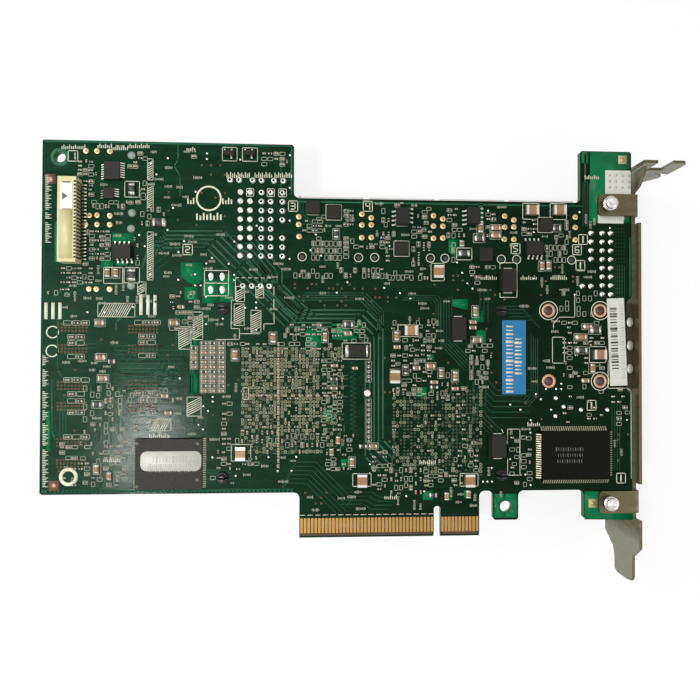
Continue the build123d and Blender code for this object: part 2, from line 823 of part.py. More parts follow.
def tantalum_capacitors():
    """Moulded capacitors on the solder side, each with a folded terminal at both ends."""
    bodies, terminals = [], []
    by_ports = (spot((port_tantalum_share, 0))[0], port_row_back - port_tantalum_gap)
    for x, y in [by_ports] + [spot(place) for place in tantalum_shares]:
        foot = tantalum_length * terminal_foot_share
        bodies.append(moulded(x, y, tantalum_width, tantalum_length, terminal_thick, tantalum_height,
                              tantalum_draft))
        for end in (-1, 1):
            edge = y + end * tantalum_length / 2
            y0, y1 = sorted((edge, edge + end * terminal_thick))
            foot0, foot1 = sorted((edge + end * terminal_thick, edge - end * foot))
            half = tantalum_width * terminal_width_share / 2
            terminals.append(slab(x - half, x + half, y0, y1, 0, tantalum_height / 2)
                             + slab(x - half, x + half, foot0, foot1, 0, terminal_thick))
    return bodies, terminals


def ceramic_capacitors():
    """Ceramic blocks between plated ends."""
    bodies, ends = [], []
    places = [(place, ceramic_length, ceramic_width) for place in level_ceramic_shares]
    places += [(place, ceramic_width, ceramic_length) for place in upright_ceramic_shares]
    places = [(spot(place), length, width) for place, length, width in places]
    near = (key_to_end - near_ceramic_inset, cage_rise - near_ceramic_drop)
    places.append((near, ceramic_length, ceramic_width))
    for (x, y), length, width in places:
        level = length > width
        end = ceramic_length * ceramic_end_share
        core = ceramic_length - 2 * end
        bodies.append(block(x, y, core if level else length, width if level else core, 0, ceramic_height))
        for side in (-1, 1):
            shift = side * (core + end) / 2
            bit = block(x + shift, y, end, width, 0, ceramic_height) if level else block(
                x, y + shift, length, end, 0, ceramic_height)
            ends.append(bit)
    return bodies, ends


def sense_resistor():
    """A flat current-sensing resistor."""
    x, y = spot(sense_shares)
    return block(x, y, sense_length, sense_width, 0, sense_height)


def power_coils():
    """Moulded power coils on the component side."""
    coils = []
    for place in coil_shares:
        x, y = spot(place)
        coil = block(x, y, coil_side, coil_side, top_face - coil_height, top_face)
        coils.append(chamfer(coil.edges().filter_by(Axis.Z), coil_corner))
    return coils


def polymer_capacitors():
    """Round cans on square plastic bases."""
    cans, bases = [], []
    sink_left = left_pin - heat_sink_margin
    left = (sink_left - can_sink_gap - can_base_side / 2, spot((0, left_can_share))[1])
    for x, y in [spot(place) for place in can_shares] + [left]:
        low = top_face - can_base_height
        bases.append(block(x, y, can_base_side, can_base_side, low, top_face))
        cans.append(drum(x, y, can_radius, low - can_height, low, can_sides))
    return cans, bases


def crystal():
    """A quartz crystal in a flat metal can, beside the controller."""
    x = controller_x - controller_side / 2 - crystal_chip_gap
    y = spot((0, crystal_share))[1]
    can = block(x, y, crystal_length, crystal_width, top_face - crystal_height, top_face)
    return chamfer(can.edges().filter_by(Axis.Z), crystal_corner)


def socket_body():
    """The battery socket's moulding: an open trough, undercut along both sides where its contacts leave."""
    x, y = spot(socket_shares)
    body = block(x, y, socket_width, socket_length, 0, socket_height)
    body -= block(x, y, socket_width - 4 * socket_wall, socket_length - 4 * socket_wall,
                  socket_wall, socket_height + overrun)
    undercut = socket_contact_count * socket_contact_pitch
    for side in (-1, 1):
        body -= block(x + side * socket_width / 2, y, socket_wall, undercut, -overrun, socket_undercut)
    return body


def socket_contact_rows():
    """Contact tails that leave the socket's two long sides."""
    x, y = spot(socket_shares)
    tails = []
    offsets = [(step - (socket_contact_count - 1) / 2) * socket_contact_pitch
               for step in range(socket_contact_count)]
    for side in (-1, 1):
        face = x + side * (socket_width - socket_wall) / 2
        end = face + side * (socket_contact_reach + socket_wall)
        x0, x1 = sorted((face, end))
        tails += [slab(x0, x1, y + offset - socket_contact_width / 2, y + offset + socket_contact_width / 2,
                       0, lead_thick) for offset in offsets]
    return tails


def pickup_tape():
    """The film that closes one end of the socket for the machine that places it."""
    x, y = spot(socket_shares)
    top = y + socket_length / 2 - tape_inset
    return slab(x - tape_width / 2, x + tape_width / 2, top - tape_length, top, socket_height,
                socket_height + film)


def headers():
    """Each pin header's middle, columns and rows: one beside the side ports, three beside the bracket."""
    back = board_left + side_port_inset + port_depth
    across, up = left_header_shares
    left = (back + across * (step_left - back), spot((0, up))[1])
    near = key_to_end - near_header_inset
    low = cage_high() + near_header_gap
    rows = int((high_tab_rise - screw_head_radius - near_header_spare - low) // header_pitch)
    top, half_rows = low + rows * header_pitch, rows // 2
    pair_low = cage_high() + pair_header_gap
    return [(left, 2, header_row_count), ((near, (low + top) / 2), 2, rows),
            ((near - single_header_shift, top - half_rows * header_pitch / 2), 1, half_rows),
            ((near - pair_header_shift, pair_low + header_pitch / 2), 2, 1)]


def header_places(place, columns, rows):
    """The pins of one header."""
    x, y = place
    return [(x + (column - (columns - 1) / 2) * header_pitch, y + (row - (rows - 1) / 2) * header_pitch)
            for column in range(columns) for row in range(rows)]


def header_bodies():
    """Plastic strips that carry the header pins."""
    strips = []
    low = top_face - header_body_height
    for place, columns, rows in headers():
        x, y = place
        strip = block(x, y, columns * header_pitch, rows * header_pitch, low, top_face)
        strip = chamfer(strip.edges().filter_by(Axis.Z), header_chamfer)
        strips.append(strip - [block(px, py, header_pin, header_pin, low - overrun, overrun)
                               for px, py in header_places(place, columns, rows)])
    return strips


def header_pins():
    """Square pins through the strips and the board, with their ends on the solder side."""
    return [block(x, y, header_pin, header_pin, top_face - header_pin_height, header_pin_tip)
            for header in headers() for x, y in header_places(*header)]


def flat_label(place, length, width, turn=0):
    """A rectangular paper or film label on the solder side."""
    x, y = place
    return Pos(x, y, film / 2) * Rot(0, 0, turn) * Box(width, length, film)


def chip_label():
    """A label with cut corners on the flash chip."""
    x, y = spot(flash_shares)
    low = lead_thick + flash_height
    label = block(x, y, chip_label_length, chip_label_width, low, low + film)
    return chamfer(label.edges().filter_by(Axis.Z), chip_label_corner)


def write_parts():
    """Writes every piece, moved so that the zero is under the middle of the card's box."""
    flange_end = plate_in + flange_reach
    tongue_end = bracket_foot - tongue_length
    home = Pos(-(board_left + flange_end) / 2, -(tongue_end + board_height) / 2, -bracket_deep)
    small_bodies, small_leads = small_chips()
    logic_bodies, logic_leads_found = logic_chips()
    transistor_bodies, transistor_leads = transistors()
    tantalum_bodies, tantalum_terminals = tantalum_capacitors()
    ceramic_bodies, ceramic_ends = ceramic_capacitors()
    cans, can_bases = polymer_capacitors()
    flash_x, flash_y = spot(flash_shares)
    cache_x, cache_y = spot((cache_share, 0))
    cache_y += cache_edge_gap + cache_width / 2
    blue_label_top = high_pin - pin_barb_radius - blue_label_pin_gap
    blue_label_place = (right_pin + blue_label_shift, blue_label_top - blue_label_length / 2)
    bar_label_place = (key_to_end - bar_label_inset, cage_rise + bar_label_shift)
    high_label_place = (key_to_end - high_label_inset, high_tab_rise + high_label_rise)
    low_label_place = (key_to_end - low_label_inset, high_tab_rise - low_label_drop)
    pieces = {
        "circuit_board": circuit_board(),
        "edge_contacts": edge_contacts(),
        "bracket": bracket(),
        "bracket_screws": bracket_screws(),
        "external_port_cage": external_port_cage(),
        "external_port_insert": external_port_insert(),
        "external_port_gasket": external_port_gasket(),
        "heat_sink": heat_sink(),
        "push_pins": push_pins(),
        "push_pin_springs": push_pin_springs(),
        "controller_chip": large_chip(controller_x, controller_share, controller_side),
        "expander_chip": large_chip(expander_x, expander_share, expander_side),
        "controller_thermal_pad": thermal_pad(controller_x, controller_share, controller_side),
        "expander_thermal_pad": thermal_pad(expander_x, expander_share, expander_side),
        "flash_chip": moulded(flash_x, flash_y, flash_length, flash_width, lead_thick, flash_height),
        "flash_leads": two_sided_leads(flash_x, flash_y, 0, flash_length, flash_lead_count, flash_lead_pitch,
                                       flash_lead_width, flash_lead_reach, flash_height, bent=False),
        "flash_label": chip_label(),
        "cache_chip": moulded(cache_x, cache_y, cache_length, cache_width, lead_thick, cache_height),
        "cache_leads": four_sided_leads(cache_x, cache_y, cache_length, cache_width, cache_long_lead_count,
                                        cache_short_lead_count, cache_lead_pitch, cache_lead_width,
                                        cache_lead_reach, cache_height),
        "small_chips": small_bodies,
        "small_chip_leads": small_leads,
        "logic_chips": logic_bodies,
        "logic_chip_leads": logic_leads_found,
        "transistors": transistor_bodies,
        "transistor_leads": transistor_leads,
        "flat_chips": [moulded(*spot(place), small_width, small_width, 0, logic_height)
                       for place in flat_chip_shares],
        "tantalum_capacitors": tantalum_bodies,
        "tantalum_terminals": tantalum_terminals,
        "ceramic_capacitors": ceramic_bodies,
        "ceramic_capacitor_ends": ceramic_ends,
        "sense_resistor": sense_resistor(),
        "power_coils": power_coils(),
        "polymer_capacitor_cans": cans,
        "polymer_capacitor_bases": can_bases,
        "crystal": crystal(),
        "battery_socket": socket_body(),
        "battery_socket_contacts": socket_contact_rows(),
        "pickup_tape": pickup_tape(),
        "header_bodies": header_bodies(),
        "header_pins": header_pins(),
        "blue_label": flat_label(blue_label_place, blue_label_length, blue_label_width),
        "bar_label": flat_label(bar_label_place, bar_label_length, bar_label_width, bar_label_turn),
        "tab_labels": [flat_label(high_label_place, high_label_length, tab_label_width),
                       flat_label(low_label_place, low_label_length, tab_label_width)]}
    for number, place in enumerate(memory_shares, 1):
        x, y = memory_spot(place)
        chip = moulded(x, y, memory_length, memory_width, top_face, -memory_height)
        pieces[f"memory_chip_{number}"] = chip
    for number, seat in enumerate(port_seats(), 1):
        pieces[f"internal_port_{number}_shell"] = internal_port_shell(seat)
        pieces[f"internal_port_{number}_core"] = internal_port_core(seat)
    os.makedirs("parts", exist_ok=True)
    for name, shape in pieces.items():
        group = Compound(children=shape) if isinstance(shape, list) else shape
        export_step(home * group, f"parts/{name}.step")


write_parts()
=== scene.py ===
import math

import bpy
import numpy as np
from mathutils import Euler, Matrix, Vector


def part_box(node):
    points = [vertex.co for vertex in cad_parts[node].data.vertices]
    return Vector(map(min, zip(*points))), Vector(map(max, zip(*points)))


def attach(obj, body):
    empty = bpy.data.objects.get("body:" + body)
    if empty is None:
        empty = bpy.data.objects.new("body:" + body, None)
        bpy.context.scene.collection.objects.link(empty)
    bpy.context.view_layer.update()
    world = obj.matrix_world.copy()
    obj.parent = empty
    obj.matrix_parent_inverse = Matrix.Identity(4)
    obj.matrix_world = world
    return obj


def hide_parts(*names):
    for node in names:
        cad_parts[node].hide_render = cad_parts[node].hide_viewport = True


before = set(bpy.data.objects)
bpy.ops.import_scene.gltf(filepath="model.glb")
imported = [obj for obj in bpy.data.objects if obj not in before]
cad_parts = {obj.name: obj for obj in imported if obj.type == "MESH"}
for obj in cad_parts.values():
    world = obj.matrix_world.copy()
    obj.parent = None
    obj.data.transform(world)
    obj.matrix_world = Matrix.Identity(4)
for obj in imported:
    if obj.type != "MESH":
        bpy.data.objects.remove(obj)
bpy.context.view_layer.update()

# Card as a whole: a stepped circuit board that lies on its component side, with the solder side up.
# Places on it are in millimetres, from the key notch's centre line and from the tips of its contacts,
# and heights are millimetres above the solder side.
millimetre = 0.001
board_low, board_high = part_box("circuit_board")
key_from_left_end = 110.5
zero = np.array([board_low.x + key_from_left_end * millimetre, board_low.y, board_high.z])
board_thick = (board_high.z - board_low.z) / millimetre
left_end = -key_from_left_end
right_end = (board_high.x - zero[0]) / millimetre
top_edge = (board_high.y - zero[1]) / millimetre


def dress(material, *names):
    """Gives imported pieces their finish."""
    for name in names:
        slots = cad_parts[name].data.materials
        slots.clear()
        slots.append(material)


def top_of(name):
    """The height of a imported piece's top above the solder side."""
    return (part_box(name)[1].z - zero[2]) / millimetre


def material_of(name, colour, roughness, metallic=0.0):
    """A material with one Principled shader; what is the same all over is set on the shader's own sockets."""
    material = bpy.data.materials.new(name)
    material.use_nodes = True
    inputs = material.node_tree.nodes["Principled BSDF"].inputs
    inputs["Base Color"].default_value = (*colour, 1.0)
    inputs["Roughness"].default_value = roughness
    inputs["Metallic"].default_value = metallic
    return material


def set_shine(level, *materials):
    """Sets how strongly each material's surface mirrors what stands straight before it."""
    for material in materials:
        material.node_tree.nodes["Principled BSDF"].inputs["Specular IOR Level"].default_value = level


def add_nodes(tree, *kinds):
    """New shader nodes of the named kinds, in that order."""
    return [tree.nodes.new("ShaderNode" + kind) for kind in kinds]


def wire(tree, *pairs):
    """Links each pair of an output socket and an input socket."""
    for source, target in pairs:
        tree.links.new(source, target)


def mottle_group():
    """Fine mottle on Object coordinates: noise in two sizes mixes two colours, moves the roughness between
    two values and gives a height; the stretch makes the grain longer along one axis."""
    finer_by, noise_detail, broad_share, fine_share = 7.3, 3.0, 0.6, 0.4
    noise_low, noise_high = 0.36, 0.64
    group = bpy.data.node_groups.new("mottle", "ShaderNodeTree")
    for way, sockets in (("INPUT", (("First", "Color"), ("Second", "Color"), ("Scale", "Float"),
                                    ("Stretch", "Vector"), ("Low", "Float"), ("High", "Float"))),
                         ("OUTPUT", (("Colour", "Color"), ("Roughness", "Float"), ("Height", "Float")))):
        for label, kind in sockets:
            group.interface.new_socket(name=label, in_out=way, socket_type=f"NodeSocket{kind}")
    given, out = group.nodes.new("NodeGroupInput").outputs, group.nodes.new("NodeGroupOutput").inputs
    place, stretch, finer, broad, fine, half, both, spread, mix, rough = add_nodes(
        group, "TexCoord", "VectorMath", "Math", "TexNoise", "TexNoise", "Math", "Math", "MapRange", "Mix",
        "MapRange")
    stretch.operation = finer.operation = half.operation = "MULTIPLY"
    both.operation, mix.data_type = "MULTIPLY_ADD", "RGBA"
    finer.inputs[1].default_value = finer_by
    both.inputs[1].default_value, half.inputs[1].default_value = broad_share, fine_share
    spread.inputs["From Min"].default_value, spread.inputs["From Max"].default_value = noise_low, noise_high
    wire(group, (place.outputs["Object"], stretch.inputs[0]), (given["Stretch"], stretch.inputs[1]),
         (given["Scale"], finer.inputs[0]), (given["Scale"], broad.inputs["Scale"]),
         (finer.outputs[0], fine.inputs["Scale"]))
    for noise in (broad, fine):
        noise.inputs["Detail"].default_value = noise_detail
        wire(group, (stretch.outputs[0], noise.inputs["Vector"]))
    wire(group, (fine.outputs[0], half.inputs[0]), (broad.outputs[0], both.inputs[0]),
         (half.outputs[0], both.inputs[2]), (both.outputs[0], spread.inputs["Value"]),
         (spread.outputs[0], mix.inputs["Factor"]), (given["First"], mix.inputs["A"]),
         (given["Second"], mix.inputs["B"]), (spread.outputs[0], rough.inputs["Value"]),
         (given["Low"], rough.inputs["To Min"]), (given["High"], rough.inputs["To Max"]),
         (mix.outputs["Result"], out["Colour"]), (rough.outputs[0], out["Roughness"]),
         (both.outputs[0], out["Height"]))
    return group


mottle = mottle_group()
grain_relief = 0.05 * millimetre


def mottled(name, first, second, scale, low, high, bump=0.0, stretch=(1, 1, 1), metallic=0.0):
    """A material whose colour, roughness and fine relief come from the mottle group."""
    material = material_of(name, first, low, metallic)
    tree = material.node_tree
    shader = tree.nodes["Principled BSDF"].inputs
    grain = tree.nodes.new("ShaderNodeGroup")
    grain.node_tree = mottle
    for label, value in (("First", (*first, 1.0)), ("Second", (*second, 1.0)), ("Scale", scale),
                         ("Stretch", stretch), ("Low", low), ("High", high)):
        grain.inputs[label].default_value = value
    wire(tree, (grain.outputs["Colour"], shader["Base Color"]),
         (grain.outputs["Roughness"], shader["Roughness"]))
    if bump:
        relief, = add_nodes(tree, "Bump")
        relief.inputs["Strength"].default_value = bump
        relief.inputs["Distance"].default_value = grain_relief
        wire(tree, (grain.outputs["Height"], relief.inputs["Height"]),
             (relief.outputs["Normal"], shader["Normal"]))
    return material


# Circuit board: glass-fibre laminate under a glossy green solder mask, its colour darker towards the
# right end; its sawn edges show the pale laminate between the two faces.
mask_dark, mask_light = (0.0030, 0.0215, 0.0085), (0.0060, 0.0390, 0.0190)
mask_ripple = 0.07 * millimetre
right_end_tint = (0.30, 0.35, 0.22)
darkening_reach = 0.6
laminate = (0.050, 0.130, 0.060)
board_mask = mottled("board_mask", mask_dark, mask_light, 90.0, 0.035, 0.10, bump=1.0, stretch=(1.4, 6, 1))
set_shine(0.07, board_mask)
tree = board_mask.node_tree
tree.nodes["Bump"].inputs["Distance"].default_value = mask_ripple
mask_colour = tree.nodes["Principled BSDF"].inputs["Base Color"]
painted = mask_colour.links[0].from_socket
facing, upright, steep, edge_mix, along, lengthwise, rightward_ramp, rightward_darkening = add_nodes(
    tree, "NewGeometry", "SeparateXYZ", "Math", "Mix", "TexCoord", "SeparateXYZ", "MapRange", "Mix")
steep.operation, rightward_darkening.blend_type = "ABSOLUTE", "MULTIPLY"
edge_mix.data_type = rightward_darkening.data_type = "RGBA"
edge_mix.inputs["A"].default_value = (*laminate, 1.0)
rightward_darkening.inputs["B"].default_value = (*right_end_tint, 1.0)
# the mask's colour is multiplied down in a ramp from the board's left end towards its right end
rightward_ramp.inputs["From Min"].default_value = zero[0] + left_end * millimetre
rightward_ramp.inputs["From Max"].default_value = zero[0] + right_end * darkening_reach * millimetre
wire(tree, (facing.outputs["Normal"], upright.inputs[0]), (upright.outputs["Z"], steep.inputs[0]),
     (steep.outputs[0], edge_mix.inputs["Factor"]), (along.outputs["Object"], lengthwise.inputs[0]),
     (lengthwise.outputs["X"], rightward_ramp.inputs["Value"]), (rightward_ramp.outputs[0], rightward_darkening.inputs["Factor"]),
     (painted, rightward_darkening.inputs["A"]), (rightward_darkening.outputs["Result"], edge_mix.inputs["B"]),
     (edge_mix.outputs["Result"], mask_colour))
dress(board_mask, "circuit_board")

# Edge contacts: the board's own copper fingers, plated with hard gold over nickel, and rubbed lengthwise
# by the sockets that they were pushed into.
gold = mottled("gold_plate", (0.50, 0.29, 0.085), (0.41, 0.23, 0.065), 500.0, 0.22, 0.40, bump=0.1,
               stretch=(6, 0.4, 1), metallic=0.9)
dress(gold, "edge_contacts")

# Bracket: one cold-rolled steel sheet, stamped and bent, with a clear zinc finish that is dull brown-grey;
# the steep faces of its two ends are painted paler, a painted highlight where the light falls on them.
lit_face_steel = (0.235, 0.230, 0.180)
bracket_middle = 51
ends_from, ends_full = 0.0495, 0.0535
flat_from, steep_full = 0.85, 0.35
bracket_steel = mottled("bracket_steel", (0.120, 0.104, 0.055), (0.090, 0.076, 0.042), 260.0, 0.34, 0.52,
                        bump=0.2, stretch=(1, 3, 1), metallic=0.75)
tree = bracket_steel.node_tree
bracket_colour = tree.nodes["Principled BSDF"].inputs["Base Color"]
unlit_steel = bracket_colour.links[0].from_socket
place, parts_of, off, far, ends, sheet_face, sheet_up, steepness, lit_face_share, lit_face_mix = add_nodes(
    tree, "TexCoord", "SeparateXYZ", "Math", "Math", "MapRange", "NewGeometry", "SeparateXYZ", "MapRange",
    "Math", "Mix")
off.operation, far.operation, lit_face_share.operation, lit_face_mix.data_type = "SUBTRACT", "ABSOLUTE", "MULTIPLY", "RGBA"
off.inputs[1].default_value = zero[1] + bracket_middle * millimetre
ends.inputs["From Min"].default_value, ends.inputs["From Max"].default_value = ends_from, ends_full
steepness.inputs["From Min"].default_value, steepness.inputs["From Max"].default_value = flat_from, steep_full
# painted highlight: the steep faces of the bracket's ends are mixed towards a paler steel colour
lit_face_mix.inputs["B"].default_value = (*lit_face_steel, 1)
wire(tree, (place.outputs["Object"], parts_of.inputs[0]), (parts_of.outputs["Y"], off.inputs[0]),
     (off.outputs[0], far.inputs[0]), (far.outputs[0], ends.inputs["Value"]),
     (sheet_face.outputs["Normal"], sheet_up.inputs[0]), (sheet_up.outputs["Z"], steepness.inputs["Value"]),
     (ends.outputs[0], lit_face_share.inputs[0]), (steepness.outputs[0], lit_face_share.inputs[1]),
     (lit_face_share.outputs[0], lit_face_mix.inputs["Factor"]), (unlit_steel, lit_face_mix.inputs["A"]),
     (lit_face_mix.outputs["Result"], bracket_colour))
dress(bracket_steel, "bracket")

# Screws and springs: plated steel, turned and coiled; the screws hold the bracket's tabs, with their ends
# bright in the tabs' collars, and the springs press on the heat sink's pins.
screw_steel = mottled("screw_steel", (0.80, 0.78, 0.74), (0.52, 0.50, 0.46), 700.0, 0.10, 0.30, bump=0.4,
                      metallic=1.0)
dress(screw_steel, "bracket_screws", "push_pin_springs")

# Ports: folded and tinned steel shells round black glass-filled mouldings, soldered and pegged to the
# board; the external port's gasket is a bent strip of spring bronze.
port_steel = mottled("port_steel", (0.66, 0.65, 0.62), (0.52, 0.51, 0.49), 240.0, 0.24, 0.42, bump=0.1,
                     stretch=(1, 4, 1), metallic=1.0)
black_moulding = mottled("black_moulding", (0.018, 0.018, 0.018), (0.028, 0.028, 0.027), 900.0, 0.42, 0.6,
                         bump=0.3)
gasket_bronze = mottled("gasket_bronze", (0.060, 0.048, 0.030), (0.045, 0.036, 0.022), 400.0, 0.3, 0.5,
                        metallic=0.5)
internal_ports = [f"internal_port_{number}" for number in range(1, 7)]
dress(port_steel, "external_port_cage", *(port + "_shell" for port in internal_ports))
dress(black_moulding, "external_port_insert", "header_bodies", "polymer_capacitor_bases",
      *(port + "_core" for port in internal_ports))
dress(gasket_bronze, "external_port_gasket")

# Heat sink: extruded aluminium, sawn to length and left plain, held down through the board by four pins
# of black nylon.
sink_metal = mottled("sink_metal", (0.42, 0.43, 0.44), (0.34, 0.35, 0.36), 180.0, 0.32, 0.5, bump=0.2,
                     stretch=(0.3, 6, 6), metallic=1.0)
nylon = mottled("black_nylon", (0.010, 0.010, 0.011), (0.016, 0.016, 0.017), 500.0, 0.3, 0.45, bump=0.1)
dress(sink_metal, "heat_sink")
dress(nylon, "push_pins")

# Chips: black moulding compound with a fine grain, pressed round stamped and tinned leads that are
# soldered to the board; grey pads pass the large chips' heat to the heat sink.
chip_black = mottled("chip_black", (0.0105, 0.0100, 0.0075), (0.0150, 0.0140, 0.0105), 1500.0, 0.45, 0.62,
                     bump=0.4)
cache_black = mottled("cache_black", (0.0030, 0.0030, 0.0022), (0.0045, 0.0045, 0.0032), 1500.0, 0.45, 0.62,
                      bump=0.4)
set_shine(0.2, chip_black)
set_shine(0.06, cache_black)
dull_tin = mottled("dull_tin", (0.36, 0.34, 0.24), (0.28, 0.26, 0.18), 900.0, 0.4, 0.55, metallic=0.8)
tin = mottled("tin", (0.74, 0.72, 0.66), (0.58, 0.56, 0.50), 900.0, 0.22, 0.4, metallic=0.95)
thermal_pad = mottled("thermal_pad", (0.32, 0.33, 0.34), (0.27, 0.28, 0.29), 700.0, 0.7, 0.85, bump=0.3)
memory_chips = [f"memory_chip_{number}" for number in range(1, 6)]
dress(chip_black, "controller_chip", "expander_chip", "flash_chip", "small_chips", "logic_chips",
      "transistors", "flat_chips", "sense_resistor", "tantalum_capacitors", "power_coils", *memory_chips)
dress(cache_black, "cache_chip")
dress(dull_tin, "flash_leads", "cache_leads")
dress(tin, "small_chip_leads", "logic_chip_leads", "transistor_leads", "tantalum_terminals",
      "ceramic_capacitor_ends", "battery_socket_contacts", "header_pins")
dress(thermal_pad, "controller_thermal_pad", "expander_thermal_pad")

# Capacitors and crystal: fired ceramic blocks between tinned ends, and drawn aluminium cans, all of them
# soldered to the board.
ceramic = mottled("ceramic", (0.30, 0.17, 0.08), (0.20, 0.12, 0.06), 120.0, 0.3, 0.45, bump=0.2)
can_metal = mottled("can_metal", (0.62, 0.62, 0.61), (0.52, 0.52, 0.51), 400.0, 0.2, 0.35, metallic=1.0)
dress(ceramic, "ceramic_capacitors")
dress(can_metal, "polymer_capacitor_cans", "crystal")

# Battery socket: a trough moulded in cream thermoplastic, with a piece of film stuck over one end by which
# the placing machine picks it up.
cream = mottled("cream_plastic", (0.555, 0.515, 0.275), (0.520, 0.485, 0.255), 300.0, 0.35, 0.5, bump=0.15)
film_white = mottled("film_white", (0.78, 0.77, 0.72), (0.72, 0.71, 0.66), 400.0, 0.3, 0.45, bump=0.1)
dress(cream, "battery_socket")
dress(film_white, "pickup_tape")

# Labels: die-cut paper with a printed face and glue on its back, a blue one along the middle and white
# ones at the bracket.
label_blue = mottled("label_blue", (0.022, 0.160, 0.320), (0.018, 0.138, 0.287), 350.0, 0.35, 0.5, bump=0.1)
label_white = mottled("label_white", (0.58, 0.575, 0.52), (0.51, 0.505, 0.45), 350.0, 0.4, 0.6, bump=0.1)
set_shine(0.25, label_blue)
dress(label_blue, "blue_label")
dress(label_white, "bar_label", "tab_labels")

# Solder side's geometry: new pieces are made from arrays in board millimetres, and places read off the
# photograph are named in its pixels and cast through the camera onto the board.
camera_spot = (-31.85, 51.32, 147.44)
camera_turn = Euler([math.radians(turn) for turn in (0.644, -2.67, 0.151)], "ZYX")
picture_middle, pixels_per_tangent = 350, 520.2


def at(px, py, height=0.0):
    """The board place that a pixel of the photograph shows, by a ray from the camera to that height."""
    px, py = np.asarray(px, float), np.asarray(py, float)
    ray = np.stack([(px - picture_middle) / pixels_per_tangent, (picture_middle - py) / pixels_per_tangent,
                    -np.ones(px.shape)], -1)
    ray = ray @ np.array(camera_turn.to_matrix()).T
    place = np.array(camera_spot) + ray * ((height - camera_spot[2]) / ray[..., 2:])
    return place[..., :2]


def zone(px0, py0, px1, py1):
    """A box in photograph pixels as a box in board millimetres: left, bottom, right, top."""
    (left, top), (right, bottom) = at(px0, py0), at(px1, py1)
    return left, bottom, right, top


unit_box = (np.array([(x, y, z) for z in (0, 1) for y in (-0.5, 0.5) for x in (-0.5, 0.5)]),
            [(0, 2, 3, 1), (4, 5, 7, 6), (0, 1, 5, 4), (2, 6, 7, 3), (0, 4, 6, 2), (1, 3, 7, 5)])


def turned(profile, sides):
    """A closed solid of revolution: a list of (radius, height) pairs from bottom to top, turned about Z in
    equal steps; flat faces close both ends."""
    angles = np.arange(sides) * 2 * np.pi / sides
    points = [(radius * math.cos(angle), radius * math.sin(angle), height)
              for radius, height in profile for angle in angles]
    faces = [tuple(range(sides - 1, -1, -1)),
             tuple(range((len(profile) - 1) * sides, len(profile) * sides))]
    for level in range(len(profile) - 1):
        base = level * sides
        faces += [(base + step, base + (step + 1) % sides, base + sides + (step + 1) % sides,
                   base + sides + step) for step in range(sides)]
    return np.array(points), faces


def ring_of(inner, sides):
    """A flat closed ring of outer radius 1 and height 1 with the given inner radius."""
    angles = np.arange(sides) * 2 * np.pi / sides
    points = [(radius * math.cos(angle), radius * math.sin(angle), height)
              for radius, height in ((1, 0), (1, 1), (inner, 1), (inner, 0)) for angle in angles]
    faces = []
    for level in range(4):
        base, after = level * sides, (level + 1) % 4 * sides
        faces += [(base + step, base + (step + 1) % sides, after + (step + 1) % sides, after + step)
                  for step in range(sides)]
    return np.array(points), faces


def stamped(shape, places, turns=0.0, scales=(1, 1, 1), base=0.0, slot=0):
    """Copies of a small closed shape, each scaled, turned about Z in degrees and set on its board place:
    corner points, corner order, corners per face and each face's material slot, as arrays."""
    points, faces = shape
    places = np.asarray(places, float).reshape(-1, 2)
    count = len(places)
    angle = np.radians(np.broadcast_to(turns, (count,)))[:, None]
    spread = points[None] * np.broadcast_to(scales, (count, 3))[:, None]
    x = spread[..., 0] * np.cos(angle) - spread[..., 1] * np.sin(angle) + places[:, :1]
    y = spread[..., 0] * np.sin(angle) + spread[..., 1] * np.cos(angle) + places[:, 1:]
    z = spread[..., 2] + np.broadcast_to(base, (count,))[:, None]
    order = np.concatenate([np.array(face) for face in faces])
    order = (order[None] + np.arange(count)[:, None] * len(points)).ravel()
    sizes = np.tile([len(face) for face in faces], count)
    return np.stack([x, y, z], -1).reshape(-1, 3), order, sizes, np.full(len(sizes), slot)


def new_piece(name, batches, materials, smooth=False):
    """One object from batches of stamped shapes, moved to the board's zero, tied to the card's root."""
    batches = [batch for batch in batches if len(batch[0])]
    shift = np.cumsum([0] + [len(batch[0]) for batch in batches])[:-1]
    points = zero + np.concatenate([batch[0] for batch in batches]) * millimetre
    order = np.concatenate([batch[1] + first for batch, first in zip(batches, shift)])
    sizes = np.concatenate([batch[2] for batch in batches])
    slots = np.concatenate([batch[3] for batch in batches])
    mesh = bpy.data.meshes.new(name)
    mesh.vertices.add(len(points))
    mesh.vertices.foreach_set("co", points.ravel())
    mesh.loops.add(len(order))
    mesh.loops.foreach_set("vertex_index", order.astype(np.int32))
    mesh.polygons.add(len(sizes))
    mesh.polygons.foreach_set("loop_start", (np.cumsum(sizes) - sizes).astype(np.int32))
    mesh.polygons.foreach_set("material_index", slots.astype(np.int32))
    if smooth:
        mesh.polygons.foreach_set("use_smooth", np.ones(len(sizes), bool))
    mesh.update(calc_edges=True)
    for material in materials:
        mesh.materials.append(material)
    piece = bpy.data.objects.new(name, mesh)
    bpy.context.scene.collection.objects.link(piece)
    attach(piece, "root")
    return piece


# Free room on the solder side: a fine grid of cells, filled where the board is cut away and where a
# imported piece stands, so that the small parts keep clear of both and of each other.
cell = 0.2
taken = np.zeros((int((right_end - left_end) / cell) + 2, int(top_edge / cell) + 2), bool)


def cells(x0, y0, x1, y1):
    """The grid's cells that a box in board millimetres covers."""
    low = np.floor((np.array([x0, y0]) - (left_end, 0)) / cell).astype(int).clip(0)
    high = np.floor((np.array([x1, y1]) - (left_end, 0)) / cell).astype(int).clip(0) + 1
    return slice(low[0], high[0]), slice(low[1], high[1])


def claim(x, y, half_x, half_y):
    """Fills the cells round a board place."""
    taken[cells(x - half_x, y - half_y, x + half_x, y + half_y)] = True


def is_free(x, y, half_x, half_y):
    """Whether every cell round a board place is empty."""
    return not taken[cells(x - half_x, y - half_y, x + half_x, y + half_y)].any()


